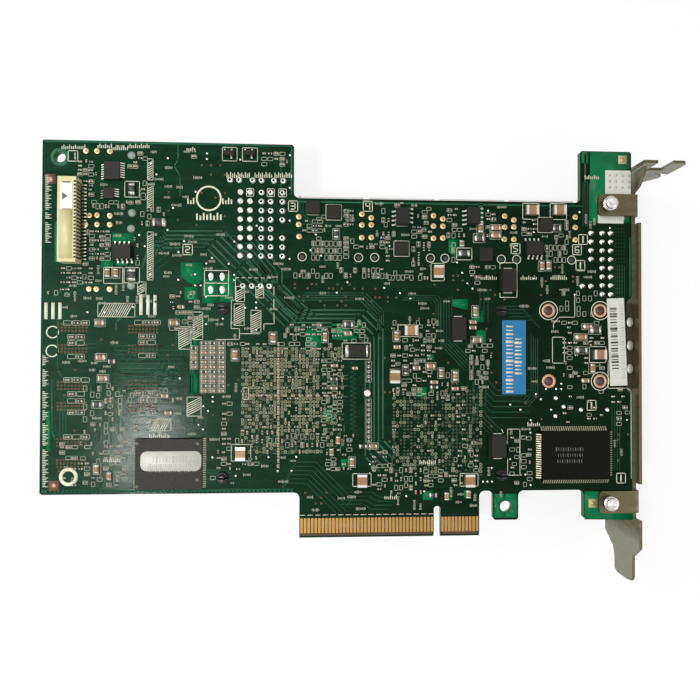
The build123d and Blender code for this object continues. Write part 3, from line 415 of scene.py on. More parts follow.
def claim_faces(skipped, reaches, margin):
    """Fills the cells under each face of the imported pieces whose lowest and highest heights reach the
    board's face, with a margin round it."""
    for name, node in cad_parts.items():
        if name in skipped:
            continue
        mesh = node.data
        points, order = np.empty(len(mesh.vertices) * 3), np.empty(len(mesh.loops), np.int32)
        starts = np.empty(len(mesh.polygons), np.int32)
        mesh.vertices.foreach_get("co", points)
        mesh.loops.foreach_get("vertex_index", order)
        mesh.polygons.foreach_get("loop_start", starts)
        corners = ((points.reshape(-1, 3) - zero) / millimetre)[order]
        low, high = np.minimum.reduceat(corners, starts), np.maximum.reduceat(corners, starts)
        for index in np.flatnonzero(reaches(low[:, 2], high[:, 2])):
            taken[cells(*(low[index, :2] - margin), *(high[index, :2] + margin))] = True


for cut in ((-111, 0, -39.2, 13.3), (-41.6, 95.4, 42.5, 112), (-1.3, 0, 1.3, 9), (12.0, 0, 16.3, 13.2),
            (23.4, 0, 42.8, 13.2), (16, 0, 24, 4.9), (42, 0, 58, 4.9), (-40, 0, 13, 7.3),
            (-111, 110.6, 58, 112),
            (-111, 0, -110, 112), (56.6, 0, 58, 112), (-108.5, 103.4, -102.7, 109.2), (17.6, 6, 22, 10.4)):
    taken[cells(*cut)] = True
just_under, clear_round = -0.35, 0.25
claim_faces(("circuit_board", "edge_contacts"), lambda low, high: high > just_under, clear_round)

# Copper: pours and traces etched from the board's foil, under the mask, so that they stand a little raised
# and look lighter than the bare laminate.
dice = np.random.default_rng(20)
pour_green = mottled("pour_green", (0.0015, 0.150, 0.055), (0.0015, 0.118, 0.043), 160.0, 0.14, 0.22,
                     bump=0.2)
trace_green = mottled("trace_green", (0.0180, 0.0700, 0.0400), (0.0130, 0.0540, 0.0300), 200.0, 0.06, 0.14,
                      bump=0.5)
bus_green = mottled("bus_green", (0.0330, 0.1030, 0.0620), (0.0250, 0.0820, 0.0480), 200.0, 0.06, 0.14,
                    bump=0.5)
line_green = mottled("line_green", (0.0230, 0.1180, 0.0660), (0.0170, 0.0950, 0.0520), 200.0, 0.06, 0.14,
                     bump=0.5)
set_shine(0.09, pour_green, trace_green, bus_green, line_green)
copper_high = 0.03


def sheet(outline, thick, base=0.0, slot=0):
    """A thin closed plate with the given outline, its corners listed anticlockwise in board millimetres."""
    outline = np.asarray(outline, float)
    count = len(outline)
    points = np.concatenate([np.column_stack([outline, np.full(count, level)]) for level in (0, thick)])
    faces = [tuple(range(count - 1, -1, -1)), tuple(range(count, 2 * count))]
    faces += [(step, (step + 1) % count, count + (step + 1) % count, count + step) for step in range(count)]
    return stamped((points, faces), (0, 0), base=base, slot=slot)


def plates(boxes, thick, base=0.0, slot=0):
    """Thin closed rectangles from boxes (left, bottom, right, top)."""
    boxes = np.asarray(boxes, float).reshape(-1, 4)
    middles, sizes = (boxes[:, :2] + boxes[:, 2:]) / 2, boxes[:, 2:] - boxes[:, :2]
    return stamped(unit_box, middles, 0, np.column_stack([sizes, np.full(len(boxes), thick)]), base, slot)


def strokes(lines, thick, base=0.0, slot=0):
    """Straight bars from rows (x0, y0, x1, y1, width), a little longer than their line to close corners."""
    lines = np.asarray(lines, float).reshape(-1, 5)
    run = lines[:, 2:4] - lines[:, :2]
    length = np.hypot(run[:, 0], run[:, 1])
    scales = np.column_stack([length + lines[:, 4] * 0.9, lines[:, 4], np.full(len(lines), thick)])
    return stamped(unit_box, (lines[:, :2] + lines[:, 2:4]) / 2, np.degrees(np.arctan2(run[:, 1], run[:, 0])),
                   scales, base, slot)


def path(points, width):
    """A line through several board places as rows for strokes."""
    points = np.asarray(points, float)
    return [(*start, *end, width) for start, end in zip(points[:-1], points[1:])]


def box_lines(x0, y0, x1, y1, width):
    """The four sides of a box as rows for strokes."""
    return path([(x0, y0), (x1, y0), (x1, y1), (x0, y1), (x0, y0)], width)


def bus(corners, count, shift, width=0.2):
    """Parallel lines through photograph pixels, each one shifted from the last by the given pixels."""
    lines = []
    for step in range(count):
        places = [at(px + shift[0] * step, py + shift[1] * step) for px, py in corners]
        lines += path(places, width)
    return lines


pours = [sheet(at(*np.array(outline, float).T)[::-1], copper_high) for outline in (
    [(180.6, 262.5), (203, 262.5), (203, 278), (199, 284), (190.5, 284), (180.6, 276.5)],
    [(184.5, 287), (197.5, 287), (197.5, 300), (184.5, 300)],
    [(205, 279), (218, 279), (218, 303), (202.5, 303), (202.5, 285)],
    [(219.5, 274), (234, 274), (234, 302), (219.5, 302)], [(54.5, 222), (58, 222), (58, 262), (54.5, 262)],
    [(112, 233), (134, 233), (134, 242), (112, 242)], [(101, 260), (113, 260), (113, 268.5), (101, 268.5)],
    [(116, 261), (127, 261), (127, 266), (116, 266)],
    [(590, 151.5), (629.3, 152.3), (629.3, 222.8), (590, 222.2)],
    [(581.5, 151.2), (588, 151.3), (588, 163), (581.5, 163)],
    [(584.5, 491), (633, 491.5), (633, 519.6), (584.5, 519.2)],
    [(305.5, 329), (321, 329), (321, 348), (305.5, 346)],
    [(332, 322), (364, 322), (364, 333), (352, 341), (332, 339)],
    [(448.5, 239.5), (458, 239.5), (458, 258), (448.5, 252)],
    [(479, 203), (483, 203), (483, 240), (479, 240)], [(427, 354), (434, 354), (434, 360), (427, 360)],
    [(416, 387), (427, 387), (427, 397), (416, 397)], [(322, 412), (332, 407), (334, 420), (326, 422)],
    [(341, 459), (350, 459), (350, 467), (341, 467)], [(445, 493), (452, 493), (452, 500), (445, 500)],
    [(464, 490), (471, 490), (471, 498), (464, 498)], [(423, 492), (433, 490), (433, 500), (423, 500)],
    [(190, 374), (197, 374), (197, 393), (190, 393)], [(192, 338), (197.5, 338), (197.5, 345), (192, 345)],
    [(452, 299), (468, 299), (468, 310), (452, 306)], [(471, 311), (484, 311), (484, 322), (471, 322)],
    [(476, 330), (486, 330), (486, 344), (476, 340)], [(46.5, 410), (50.5, 412), (50.5, 452), (46.5, 450)])]
# the pour of the latch tab, split so that it goes round the tab's hole
hole_x, hole_y, hole_reach = 19.84, 8.23, 1.75
tab_low, tab_high, tab_half = 5.1, 11.9, 3.3
for side in (-1, 1):
    arc = [(hole_x + side * hole_reach * math.cos(angle), hole_y + hole_reach * math.sin(angle))
           for angle in np.linspace(-math.pi / 2, math.pi / 2, 13)]
    half = [(hole_x, tab_low), *arc, (hole_x, tab_high), (hole_x + side * tab_half, tab_high),
            (hole_x + side * tab_half, tab_low)]
    pours.append(sheet(half if side < 0 else half[::-1], copper_high))
new_piece("copper_pours", pours, [pour_green])

main_bus = bus([(160, 250), (166, 231), (224, 231), (250, 257), (283, 290), (303, 310), (366, 310),
                (383, 327), (383, 440), (397, 454)], 5, (-4.4, 4.2), 0.5)
main_bus += bus([(236, 246), (262, 276), (262, 290), (280, 308), (296, 322)], 5, (5.0, -1.5), 0.4)
traces = bus([(300, 300), (360, 300), (378, 318), (378, 335)], 4, (1.8, -2.4), 0.3)
for corners, count, shift in (
        ([(441, 300), (441, 345), (466, 371)], 5, (2.7, -1.2)),
        ([(290, 470), (297, 462), (316, 462), (352, 498)], 6, (-2.0, 4.2)),
        ([(255, 455), (262, 448), (300, 448)], 2, (2, 4)),
        ([(98, 374), (152, 374), (160, 366), (160, 348)], 6, (4.6, 4.2)),
        ([(109, 357), (126, 357), (131, 352), (160, 352)], 3, (2, -3)),
        ([(488, 380), (497, 390), (536, 390)], 6, (-1.5, 5.5)),
        ([(474, 372), (474, 418), (492, 436)], 4, (4.0, -1.0)),
        ([(452, 385), (452, 428), (447, 433), (447, 470)], 5, (5.2, -1)),
        ([(531, 335), (531, 392), (521, 402)], 4, (2.2, 1.5)),
        ([(402, 300), (434, 300), (436, 304), (436, 338)], 3, (2.2, -2.2)),
        ([(150, 260), (164, 250), (172, 240), (200, 240)], 3, (4, 4.2)),
        ([(610, 262), (610, 300)], 7, (2.4, 0.6)), ([(612, 400), (612, 470)], 4, (2.6, 0)),
        ([(583, 182), (583, 226)], 3, (2.2, 0)), ([(350, 492), (372, 492), (380, 497), (398, 497)], 4,
                                                  (-3, 4)),
        ([(480, 290), (480, 322)], 3, (4, 0)), ([(500, 306), (520, 306), (528, 314)], 5, (3, 3.5)),
        ([(300, 196), (300, 210), (310, 220)], 3, (3, 4)), ([(470, 455), (470, 480)], 4, (3.1, 0)),
        ([(88, 400), (95, 408), (95, 440)], 5, (4, 0.8)), ([(205, 310), (205, 332)], 4, (3.5, 0.5)),
        ([(545, 460), (545, 480)], 3, (3, 0))):
    traces += bus(corners, count, shift)
lines = []
for corners, count, shift, width in (
        ([(57.5, 318), (57.5, 370), (63, 378), (84, 378), (91, 386), (91, 396)], 1, (0, 0), 0.35),
        ([(178, 145), (178, 160), (174, 166), (180, 176), (180, 196)], 1, (0, 0), 0.3),
        ([(54, 296), (66, 288), (74, 284), (99, 284)], 1, (0, 0), 0.3),
        ([(116, 330), (116, 322), (122, 317), (146, 317)], 1, (0, 0), 0.35),
        ([(52, 380), (52, 430), (55, 440)], 1, (0, 0), 0.3), ([(589.5, 183), (589.5, 224)], 1, (0, 0), 0.3),
        ([(281, 152), (281, 190)], 1, (0, 0), 0.25), ([(190.6, 338), (190.6, 400)], 2, (2.3, 0), 0.3),
        ([(200, 305), (200, 318), (205, 322), (214, 322)], 1, (0, 0), 0.3),
        ([(123, 394), (132, 386), (160, 386)], 1, (0, 0), 0.3)):
    lines += bus(corners, count, shift, width)
# the zigzag that evens out a trace's length
zigzag = at([349.5, 357, 349.5, 357] * 8, np.arange(32) * 2.35 + 358)
traces += path(zigzag, 0.17)
fine_trace = 0.16
for (px0, py0, px1, py1), count, shift in (
        ((112, 346, 180, 346), 8, (1.5, 4.4)), ((118, 366, 176, 366), 7, (1.2, 2.6)),
        ((102, 384, 102, 430), 6, (4.2, 1)), ((176, 300, 176, 350), 5, (3, 2)),
        ((60, 392, 60, 440), 3, (3, 2)),
        ((76, 344, 96, 344), 2, (0, 4)), ((200, 470, 230, 470), 4, (2, 3)), ((112, 352, 120, 344), 5, (4, 4)),
        ((205, 236, 250, 236), 1, (0, 0))):
    lines += bus([(px0, py0), (px1, py1)], count, shift, fine_trace)

# the board's rim, where the mask thins over the bare laminate
rim = []
for points in ([(-110.27, 13.6), (-110.27, 110.75), (-42.1, 110.75)], [(-41.7, 110.5), (-41.7, 97.2)],
               [(-40, 95.0), (42.8, 95.0)], [(-110.3, 13.75), (-41, 13.75)], [(56.75, 41.5), (56.75, 16)],
               [(56.75, 86), (56.75, 69)], [(43.4, 97), (43.4, 110)], [(-110.1, 110.5), (-110.1, 14)]):
    rim += path(points, 0.42)
new_piece("copper_traces", [strokes(traces, copper_high), strokes(lines + rim, copper_high, slot=1),
                            strokes(main_bus, copper_high, slot=2)], [trace_green, line_green, bus_green])

# Pads, rings and holes: gold-plated test pads, copper-ringed peg holes, tinned joints of the headers,
# bare squares that guide the placing machine, and the many small vias.
solder = mottled("solder", (0.80, 0.79, 0.75), (0.66, 0.65, 0.61), 900.0, 0.14, 0.30, metallic=1.0)
pad_gold = mottled("pad_gold", (0.68, 0.51, 0.28), (0.50, 0.36, 0.19), 700.0, 0.25, 0.42, metallic=0.85)
bare_copper = mottled("bare_copper", (0.56, 0.33, 0.20), (0.44, 0.25, 0.15), 500.0, 0.35, 0.5, metallic=0.6)
dark_hole = material_of("dark_hole", (0.006, 0.008, 0.006), 0.7)
print_white = mottled("print_white", (0.66, 0.66, 0.52), (0.54, 0.54, 0.42), 600.0, 0.5, 0.7)
via_brown = mottled("via_brown", (0.22, 0.115, 0.055), (0.15, 0.075, 0.035), 900.0, 0.35, 0.5, metallic=0.4)

gold_places = [
    (-98.7, 108.2), (-95.7, 108.2), (-92.2, 108.2), (-97.7, 90.2), (-95.6, 90.3), (-92.1, 90.2),
    (-98.7, 87.7), (-95.6, 87.7), (-92.1, 87.7), (-97.6, 69.7), (-95.6, 69.7), (-92.0, 69.7), (-39.6, 90.7),
    (-39.6, 88.5), (-39.5, 85.1), (-21.7, 91.7), (-21.7, 88.6), (-21.7, 85.0), (-19.0, 90.7), (-19.0, 88.7),
    (-19.0, 85.1), (-1.1, 91.6), (-1.1, 88.6), (-1.1, 85.1), (1.6, 90.7), (1.6, 88.6), (1.6, 85.2),
    (19.6, 91.8), (19.6, 88.6), (19.5, 85.1), (22.3, 90.7), (22.3, 88.7), (22.3, 85.1), (40.4, 91.8),
    (40.4, 88.8), (40.4, 85.2)]
dot, fine_dot = turned([(1, 0), (1, 1)], 10), turned([(1, 0), (1, 1)], 6)
mound = turned([(1, 0), (0.94, 0.35), (0.72, 0.72), (0.38, 0.95), (0.1, 1)], 12)
eyelet = ring_of(0.62, 10)
for x, y in gold_places:
    claim(x, y, 1, 1)
new_piece("gold_pads", [
    stamped(mound, gold_places, 0, (0.82, 0.82, 0.16)),
    stamped(fine_dot, np.array(gold_places) + (0.12, -0.1), 0, (0.22, 0.22, 0.19), slot=1)],
    [pad_gold, via_brown])

peg_rings = [(-38.6, 79.4), (-22.6, 79.3), (-18.0, 79.4), (-2.0, 79.4), (2.2, 79.4), (18.6, 79.3),
             (23.1, 79.3), (39.3, 79.3), (-86.2, 107.2), (-86.0, 91.1), (-86.2, 86.7), (-86.1, 70.7)]
cage_rings = [(32.44, 64.58), (47.75, 64.67), (32.51, 44.17), (47.68, 44.17)]
for x, y in peg_rings + cage_rings:
    claim(x, y, 1.6, 1.6)
peg_sheen_grey = mottled("peg_sheen_grey", (0.27, 0.31, 0.27), (0.20, 0.24, 0.20), 900.0, 0.2, 0.4)
hole_shade_brown = mottled("hole_shade_brown", (0.050, 0.024, 0.022), (0.028, 0.014, 0.014), 500.0, 0.3, 0.5)
new_piece("peg_rings", [
    stamped(ring_of(0.84, 16), peg_rings[:8], 0, (1.3, 1.3, 0.03)),
    stamped(ring_of(0.7, 16), peg_rings[8:], 0, (1.25, 1.25, 0.03), slot=1),
    stamped(ring_of(0.66, 24), cage_rings, 0, (2.0, 2.0, 0.05), slot=2),
    # painted shade: dark discs fill the port cage's holes, where the pegs sit below the board's face
    stamped(turned([(1, 0), (1, 1)], 20), cage_rings, 0, (1.3, 1.3, 0.02), slot=5),
    stamped(ring_of(0.92, 28), cage_rings[:2] + cage_rings[3:], 0, (2.75, 2.75, 0.03)),
    stamped(ring_of(0.86, 32), [(-64.8, 95.5)], 0, (3.6, 3.6, 0.03)),
    stamped(ring_of(0.62, 28), [(-102.7, 17.7)], 0, (2.55, 2.55, 0.03)),
    stamped(ring_of(0.82, 24), [(-107.3, 57.7), (-107.4, 52.5)], 0, (1.75, 1.75, 0.03)),
    # painted sheen: pale grey caps over the left ports' black plastic pegs stand in for their glossy
    # reflection
    stamped(dot, peg_rings[8:], 0, (1.05, 1.05, 0.06), slot=4),
    stamped(ring_of(0.6, 28), [(-105.7, 106.35)], 0, (2.6, 2.6, 0.03), slot=3)],
    [print_white, trace_green, bare_copper, line_green, peg_sheen_grey, hole_shade_brown])

# Guides for the placing machine: round copper dots in squares that the mask leaves bare, at the board's
# corners, where the machine's camera finds them.
guides = [(-108.2, 100.2), (-106.6, 15.3), (54.5, 108.8), (45.4, 8.9)]
guide_brown = mottled("guide_brown", (0.13, 0.060, 0.035), (0.10, 0.045, 0.028), 300.0, 0.5, 0.6)
guide_tan = mottled("guide_tan", (0.44, 0.40, 0.22), (0.38, 0.35, 0.19), 300.0, 0.45, 0.6)
new_piece("guides", [
    stamped(unit_box, guides[:2], 0, (2.8, 2.8, 0.045)),
    stamped(unit_box, guides[2:], 0, (2.5, 2.5, 0.045), slot=1),
    stamped(dot, guides, 0, (0.62, 0.62, 0.07), slot=2)], [guide_brown, guide_tan, bare_copper])

# Spare pads: four bare copper pads, tinned with solder and left for a part that isn't fitted, with its
# two printed boxes.
spare_pads = [(x, y) for x in (-64.1, -60.95) for y in (73.5, 69.8)]
for x, y in spare_pads:
    claim(x, y, 1.8, 1.6)
new_piece("spare_pads", [
    stamped(mound, spare_pads, 0, (0.72, 1.15, 0.12)),
    strokes(path([(-65.9, 75.2), (-59.2, 75.2), (-59.2, 71.65), (-65.9, 71.65), (-65.9, 75.2)], 0.2)
            + path([(-65.9, 71.65), (-65.9, 68.1), (-59.2, 68.1), (-59.2, 71.65)], 0.2), 0.05, slot=1)],
    [solder, print_white], smooth=True)

# Screw ends: each screw's chamfered end with a drilled dimple, above the last turns of its rolled thread,
# standing in the raised collar of a tab.
screw_spots = [(49.6, 9.4), (49.6, 95.3)]
screw_top = top_of("bracket_screws")
screw_end = turned([(1.0, 0), (1.0, 0.2), (0.86, 0.75), (0.62, 1.0), (0.5, 0.96), (0.3, 0.3), (0.05, 0.2)],
                   20)
thread_turn = ring_of(0.82, 20)
new_piece("screw_ends", [
    stamped(screw_end, screw_spots, 0, (1.72, 1.72, 0.5), screw_top - 0.05),
    *(stamped(thread_turn, screw_spots, 0, (2.0, 2.0, 0.16), screw_top - drop)
      for drop in (0.35, 0.75, 1.15))], [screw_steel])

# Header joints: pins soldered into plated holes under domes of solder, and rows of plated holes that are
# left empty. The test ball is a bead of solder on a pad for test probes.
rows_a = 79.4 + np.arange(8) * 2.571
joints = [(x, y) for x in (-56.0, -53.3) for y in rows_a]
no_hole = (-44.2, rows_a[3])
hollow = [(x, y) for x in (-50.1, -47.5, -44.2) for y in rows_a if (x, y) != no_hole]
hollow += [(x, 100.8) for x in (-58.9, -56.4, -52.6, -50.1, -46.6, -44.0)]
hollow += [(x, 70.9) for x in (-55.2, -52.7, -50.2, -47.8)]
near_rows = 69.3 + np.arange(8) * 2.54
near_joints = [(x, y) for x in (48.4, 50.9) for y in near_rows] + [(45.1, y) for y in near_rows[4:]]
near_joints += [(42.45, 71.6), (45.0, 71.6)]
blobs = [(34.4, 39.3), (36.7, 36.8), (41.8, 35.9), (34.3, 34.1), (49.6, 35.9)]
for x, y in joints + hollow + near_joints + blobs:
    claim(x, y, 0.95, 0.95)
grey_eye = mottled("grey_eye", (0.34, 0.35, 0.33), (0.26, 0.27, 0.25), 800.0, 0.3, 0.5, metallic=0.6)
bead = turned([(1, 0), (0.98, 0.3), (0.8, 0.7), (0.45, 0.93), (0.12, 1)], 16)
blob = turned([(1, 0), (0.9, 0.5), (0.45, 0.9), (0.15, 1)], 10)
new_piece("test_ball", [stamped(bead, at([367.2], [393.0]), 0, (1.15, 1.15, 0.9))], [solder], smooth=True)
new_piece("header_joints", [
    stamped(mound, joints, 0, (0.98, 0.98, 0.85)),
    stamped(eyelet, hollow, 0, (0.84, 0.84, 0.08), slot=1), stamped(dot, hollow, 0, (0.5, 0.5, 0.02), slot=2),
    stamped(eyelet, np.array(hollow) + (-0.12, 0.12), 0, (0.66, 0.66, 0.12)),
    # near the bracket, a taller dark mound set off to the lower right covers each solder dome, leaving a
    # painted highlight: a bright crescent at the upper left
    stamped(mound, np.array(near_joints) + (-0.1, 0.1), 0, (0.84, 0.84, 0.5)),
    stamped(mound, np.array(near_joints) + (0.18, -0.18), 0, (0.6, 0.6, 0.95), slot=2),
    stamped(blob, blobs, 0, (0.75, 0.75, 0.8))], [solder, grey_eye, dark_hole], smooth=True)

# Small two-terminal parts: fired ceramic capacitors and thick-film resistors between tinned ends, set out
# in the photograph's groups on a grid, with the printed outlines that stand round many of them.
tan_ceramic = mottled("tan_ceramic", (0.30, 0.20, 0.11), (0.20, 0.13, 0.07), 500.0, 0.3, 0.5, bump=0.2)
film_black = mottled("film_black", (0.020, 0.020, 0.021), (0.045, 0.043, 0.040), 800.0, 0.3, 0.5)
rust_ceramic = mottled("rust_ceramic", (0.36, 0.19, 0.085), (0.25, 0.13, 0.055), 500.0, 0.35, 0.5)
end_tin = mottled("end_tin", (0.56, 0.55, 0.50), (0.42, 0.41, 0.37), 900.0, 0.2, 0.36, metallic=0.9)
end_cap = (np.array([(0.5, -0.5, 0), (0.5, 0.5, 0), (0.5, 0.5, 0.35), (0.5, -0.5, 0.35), (-0.1, -0.5, 1),
                     (-0.1, 0.5, 1), (-0.5, -0.5, 1), (-0.5, 0.5, 1), (-0.5, -0.5, 0), (-0.5, 0.5, 0)]),
           [(0, 1, 2, 3), (3, 2, 5, 4), (4, 5, 7, 6), (6, 7, 9, 8), (8, 9, 1, 0), (0, 3, 4, 6, 8),
            (1, 9, 7, 5, 2)])
bodies, ends, outlines, bars = [], [], [], []
tan, black, rust = 0, 1, 2
body_share, body_rise, end_share, end_step = 0.66, 0.94, 0.3, 0.42
part_room, outline_gap = 0.12, 0.1


def part(x, y, upright, length, width, colour):
    """One small part: its body between two ends whose solder slopes to the board. Its height is 0.42 times
    its length to the power 0.6."""
    high = 0.42 * length ** 0.6
    bodies.append((x, y, upright, length * body_share, width, high * body_rise, colour))
    step = length * end_step
    for side in (0, 180):
        angle = math.radians(side + upright)
        ends.append((x + step * math.cos(angle), y + step * math.sin(angle), side + upright,
                     length * end_share, width, high))


def half_sizes(length, width, upright, margin):
    """Half of a part's size along X and along Y, each with a margin."""
    size_x, size_y = (width, length) if upright else (length, width)
    return size_x / 2 + margin, size_y / 2 + margin


def parts(box, pitch, size, upright, colours, chance, outline):
    """Parts on a grid in a board box, where there is room; an outline share prints boxes round some."""
    x0, y0, x1, y1 = box
    half_x, half_y = half_sizes(*size, upright, part_room)
    for x in np.arange(x0 + half_x, x1 - half_x + 0.01, pitch[0]):
        for y in np.arange(y0 + half_y, y1 - half_y + 0.01, pitch[1]):
            if dice.random() < chance and is_free(x, y, half_x, half_y):
                claim(x, y, half_x, half_y)
                pick = colours[dice.integers(len(colours))]
                if pick != bare:
                    part(x, y, upright, *size, pick)
                if pick == bare or dice.random() < outline:
                    outlines.append((x - half_x - outline_gap, y - half_y - outline_gap,
                                     x + half_x + outline_gap, y + half_y + outline_gap))


def bar_row(x, y, count, upright):
    """A plain row of short printed bars of uneven height, round a board place."""
    size = 0.8
    for step in range(count):
        gap = (step - count / 2) * size * 0.46
        high = size * dice.uniform(0.35, 1.0)
        half = (high / 2, 0) if upright else (0, high / 2)
        bar_x, bar_y = (x, y + gap) if upright else (x + gap, y)
        bars.append((bar_x - half[0], bar_y - half[1], bar_x + half[0], bar_y + half[1], size * 0.2))


def bars_in(box, count, upright):
    """Rows of five to eight plain bars at free places in a board box."""
    x0, y0, x1, y1 = box
    for _ in range(count):
        x, y, size = dice.uniform(x0, x1), dice.uniform(y0, y1), int(dice.integers(5, 9))
        along, across = size * 0.19 + 0.1, 0.42
        half_x, half_y = (across, along) if upright else (along, across)
        if is_free(x, y, half_x, half_y):
            claim(x, y, half_x, half_y)
            bar_row(x, y, size, upright)


small, medium, large = (1.0, 0.5), (1.6, 0.85), (2.2, 1.3)
bare = -1
mixed = (tan, tan, black, bare)
# columns of outlined resistors left of the controller
for px, first_py, count in ((194.0, 348, 5), (204.0, 343.2, 11), (212.5, 343.2, 11), (221.5, 343.2, 11)):
    for step in range(count):
        x, y = at(px, first_py + step * 4.75)
        part(x, y, 0, 1.5, 0.8, (tan, rust, black)[(step + count) % 3])
        outlines.append((x - 1.05, y - 0.6, x + 1.05, y + 0.6))
        claim(x, y, 1.2, 0.7)
# bodies inside the printed frames, in board millimetres
for x, y, upright, length, width in ((-86, 97.7, 90, 3.1, 1.6), (-85.9, 73.7, 90, 3.2, 2.2),
                                     (-78.5, 88.4, 0, 3.6, 2.2), (7.7, 80.8, 0, 3.2, 1.7)):
    part(x, y, upright, length, width, black)
    claim(x, y, *half_sizes(length, width, upright, 0.2))
# single parts: photograph pixels, upright or not, length, width, colour; the longer ones have outlines
outlined_from = 2.3
for px, py, upright, length, width, colour in (
        (495.5, 228, 0, 2.8, 1.4, rust), (495.5, 235.6, 0, 2.8, 1.4, rust),
        (107.5, 273, 90, 2.4, 1.5, tan), (116, 273, 90, 2.4, 1.5, tan), (395, 376, 90, 3.4, 2.3, rust),
        (396.5, 336, 90, 2.6, 1.5, tan), (397, 347, 0, 2.0, 1.1, tan), (181, 307, 0, 1.8, 1.0, rust),
        (100, 323, 0, 2.4, 1.5, tan), (101, 357.5, 0, 2.6, 1.6, rust), (103, 378.5, 0, 2.6, 1.6, tan),
        (97.5, 404.5, 0, 2.4, 1.5, black), (174, 323, 0, 2.4, 1.5, rust), (112, 361.5, 0, 1.8, 1.2, black),
        (97, 469, 90, 2.4, 1.4, tan), (109.5, 476, 90, 2.2, 1.3, rust), (165, 396, 0, 2.0, 1.2, tan),
        (168.5, 413, 0, 2.0, 1.2, tan), (235, 355, 90, 2.8, 1.6, tan), (273, 338, 90, 2.8, 1.6, tan),
        (363, 446, 0, 2.2, 1.1, black), (373, 446, 0, 2.4, 1.2, tan), (352, 462, 90, 2.4, 1.4, tan),
        (334.5, 365.5, 0, 2.0, 0.9, tan), (334, 379, 0, 2.0, 0.9, black), (334, 388, 0, 2.0, 0.9, tan),
        (355, 368, 0, 1.6, 0.9, tan), (455, 376, 90, 2.8, 1.5, tan), (455, 388.5, 0, 2.0, 1.0, rust),
        (430.5, 366, 0, 2.4, 1.5, rust), (416.5, 368, 0, 2.2, 1.3, tan), (405.5, 370, 90, 2.4, 1.2, black),
        (441, 373, 90, 2.4, 1.2, tan), (434, 382, 0, 2.2, 1.0, rust), (434, 387, 0, 2.2, 1.0, black),
        (476.5, 340, 0, 2.8, 1.6, tan), (475, 311.5, 90, 2.8, 1.4, tan), (472.5, 322, 0, 2.2, 1.1, rust),
        (472.5, 327.5, 0, 2.2, 1.1, tan), (480, 228, 90, 2.8, 1.4, tan), (479, 238, 0, 2.8, 2.0, black),
        (461.5, 243.5, 90, 1.8, 1.3, tan), (348.5, 324.5, 0, 2.6, 1.5, black), (325, 337, 90, 2.6, 1.3, tan),
        (348, 333.5, 0, 2.2, 1.3, tan), (336, 234, 90, 2.4, 1.3, black), (401.5, 222.5, 0, 2.8, 1.4, black),
        (433, 494.8, 0, 2.2, 1.3, black), (446.5, 496, 90, 2.2, 1.3, tan), (468.2, 494, 90, 2.2, 1.3, tan),
        (548, 265.5, 90, 2.4, 1.3, tan), (541.5, 266, 90, 2.4, 1.3, tan), (556, 228, 0, 2.4, 1.6, black),
        (580.6, 337, 0, 3.4, 1.5, rust), (581, 350, 0, 3.4, 1.5, black), (585, 380.3, 0, 2.2, 1.2, tan),
        (595, 330, 0, 3.2, 1.8, black), (592, 368, 90, 2.6, 1.4, tan), (587, 326.5, 0, 2.6, 1.2, tan),
        (338, 440, 90, 2.2, 1.2, rust), (331.5, 452, 90, 2.0, 1.2, tan)):
    x, y = at(px, py)
    half_x, half_y = half_sizes(length, width, upright, 0.15)
    part(x, y, upright, length, width, colour)
    claim(x, y, half_x, half_y)
    if length > outlined_from:
        outlines.append((x - half_x - 0.15, y - half_y - 0.15, x + half_x + 0.15, y + half_y + 0.15))
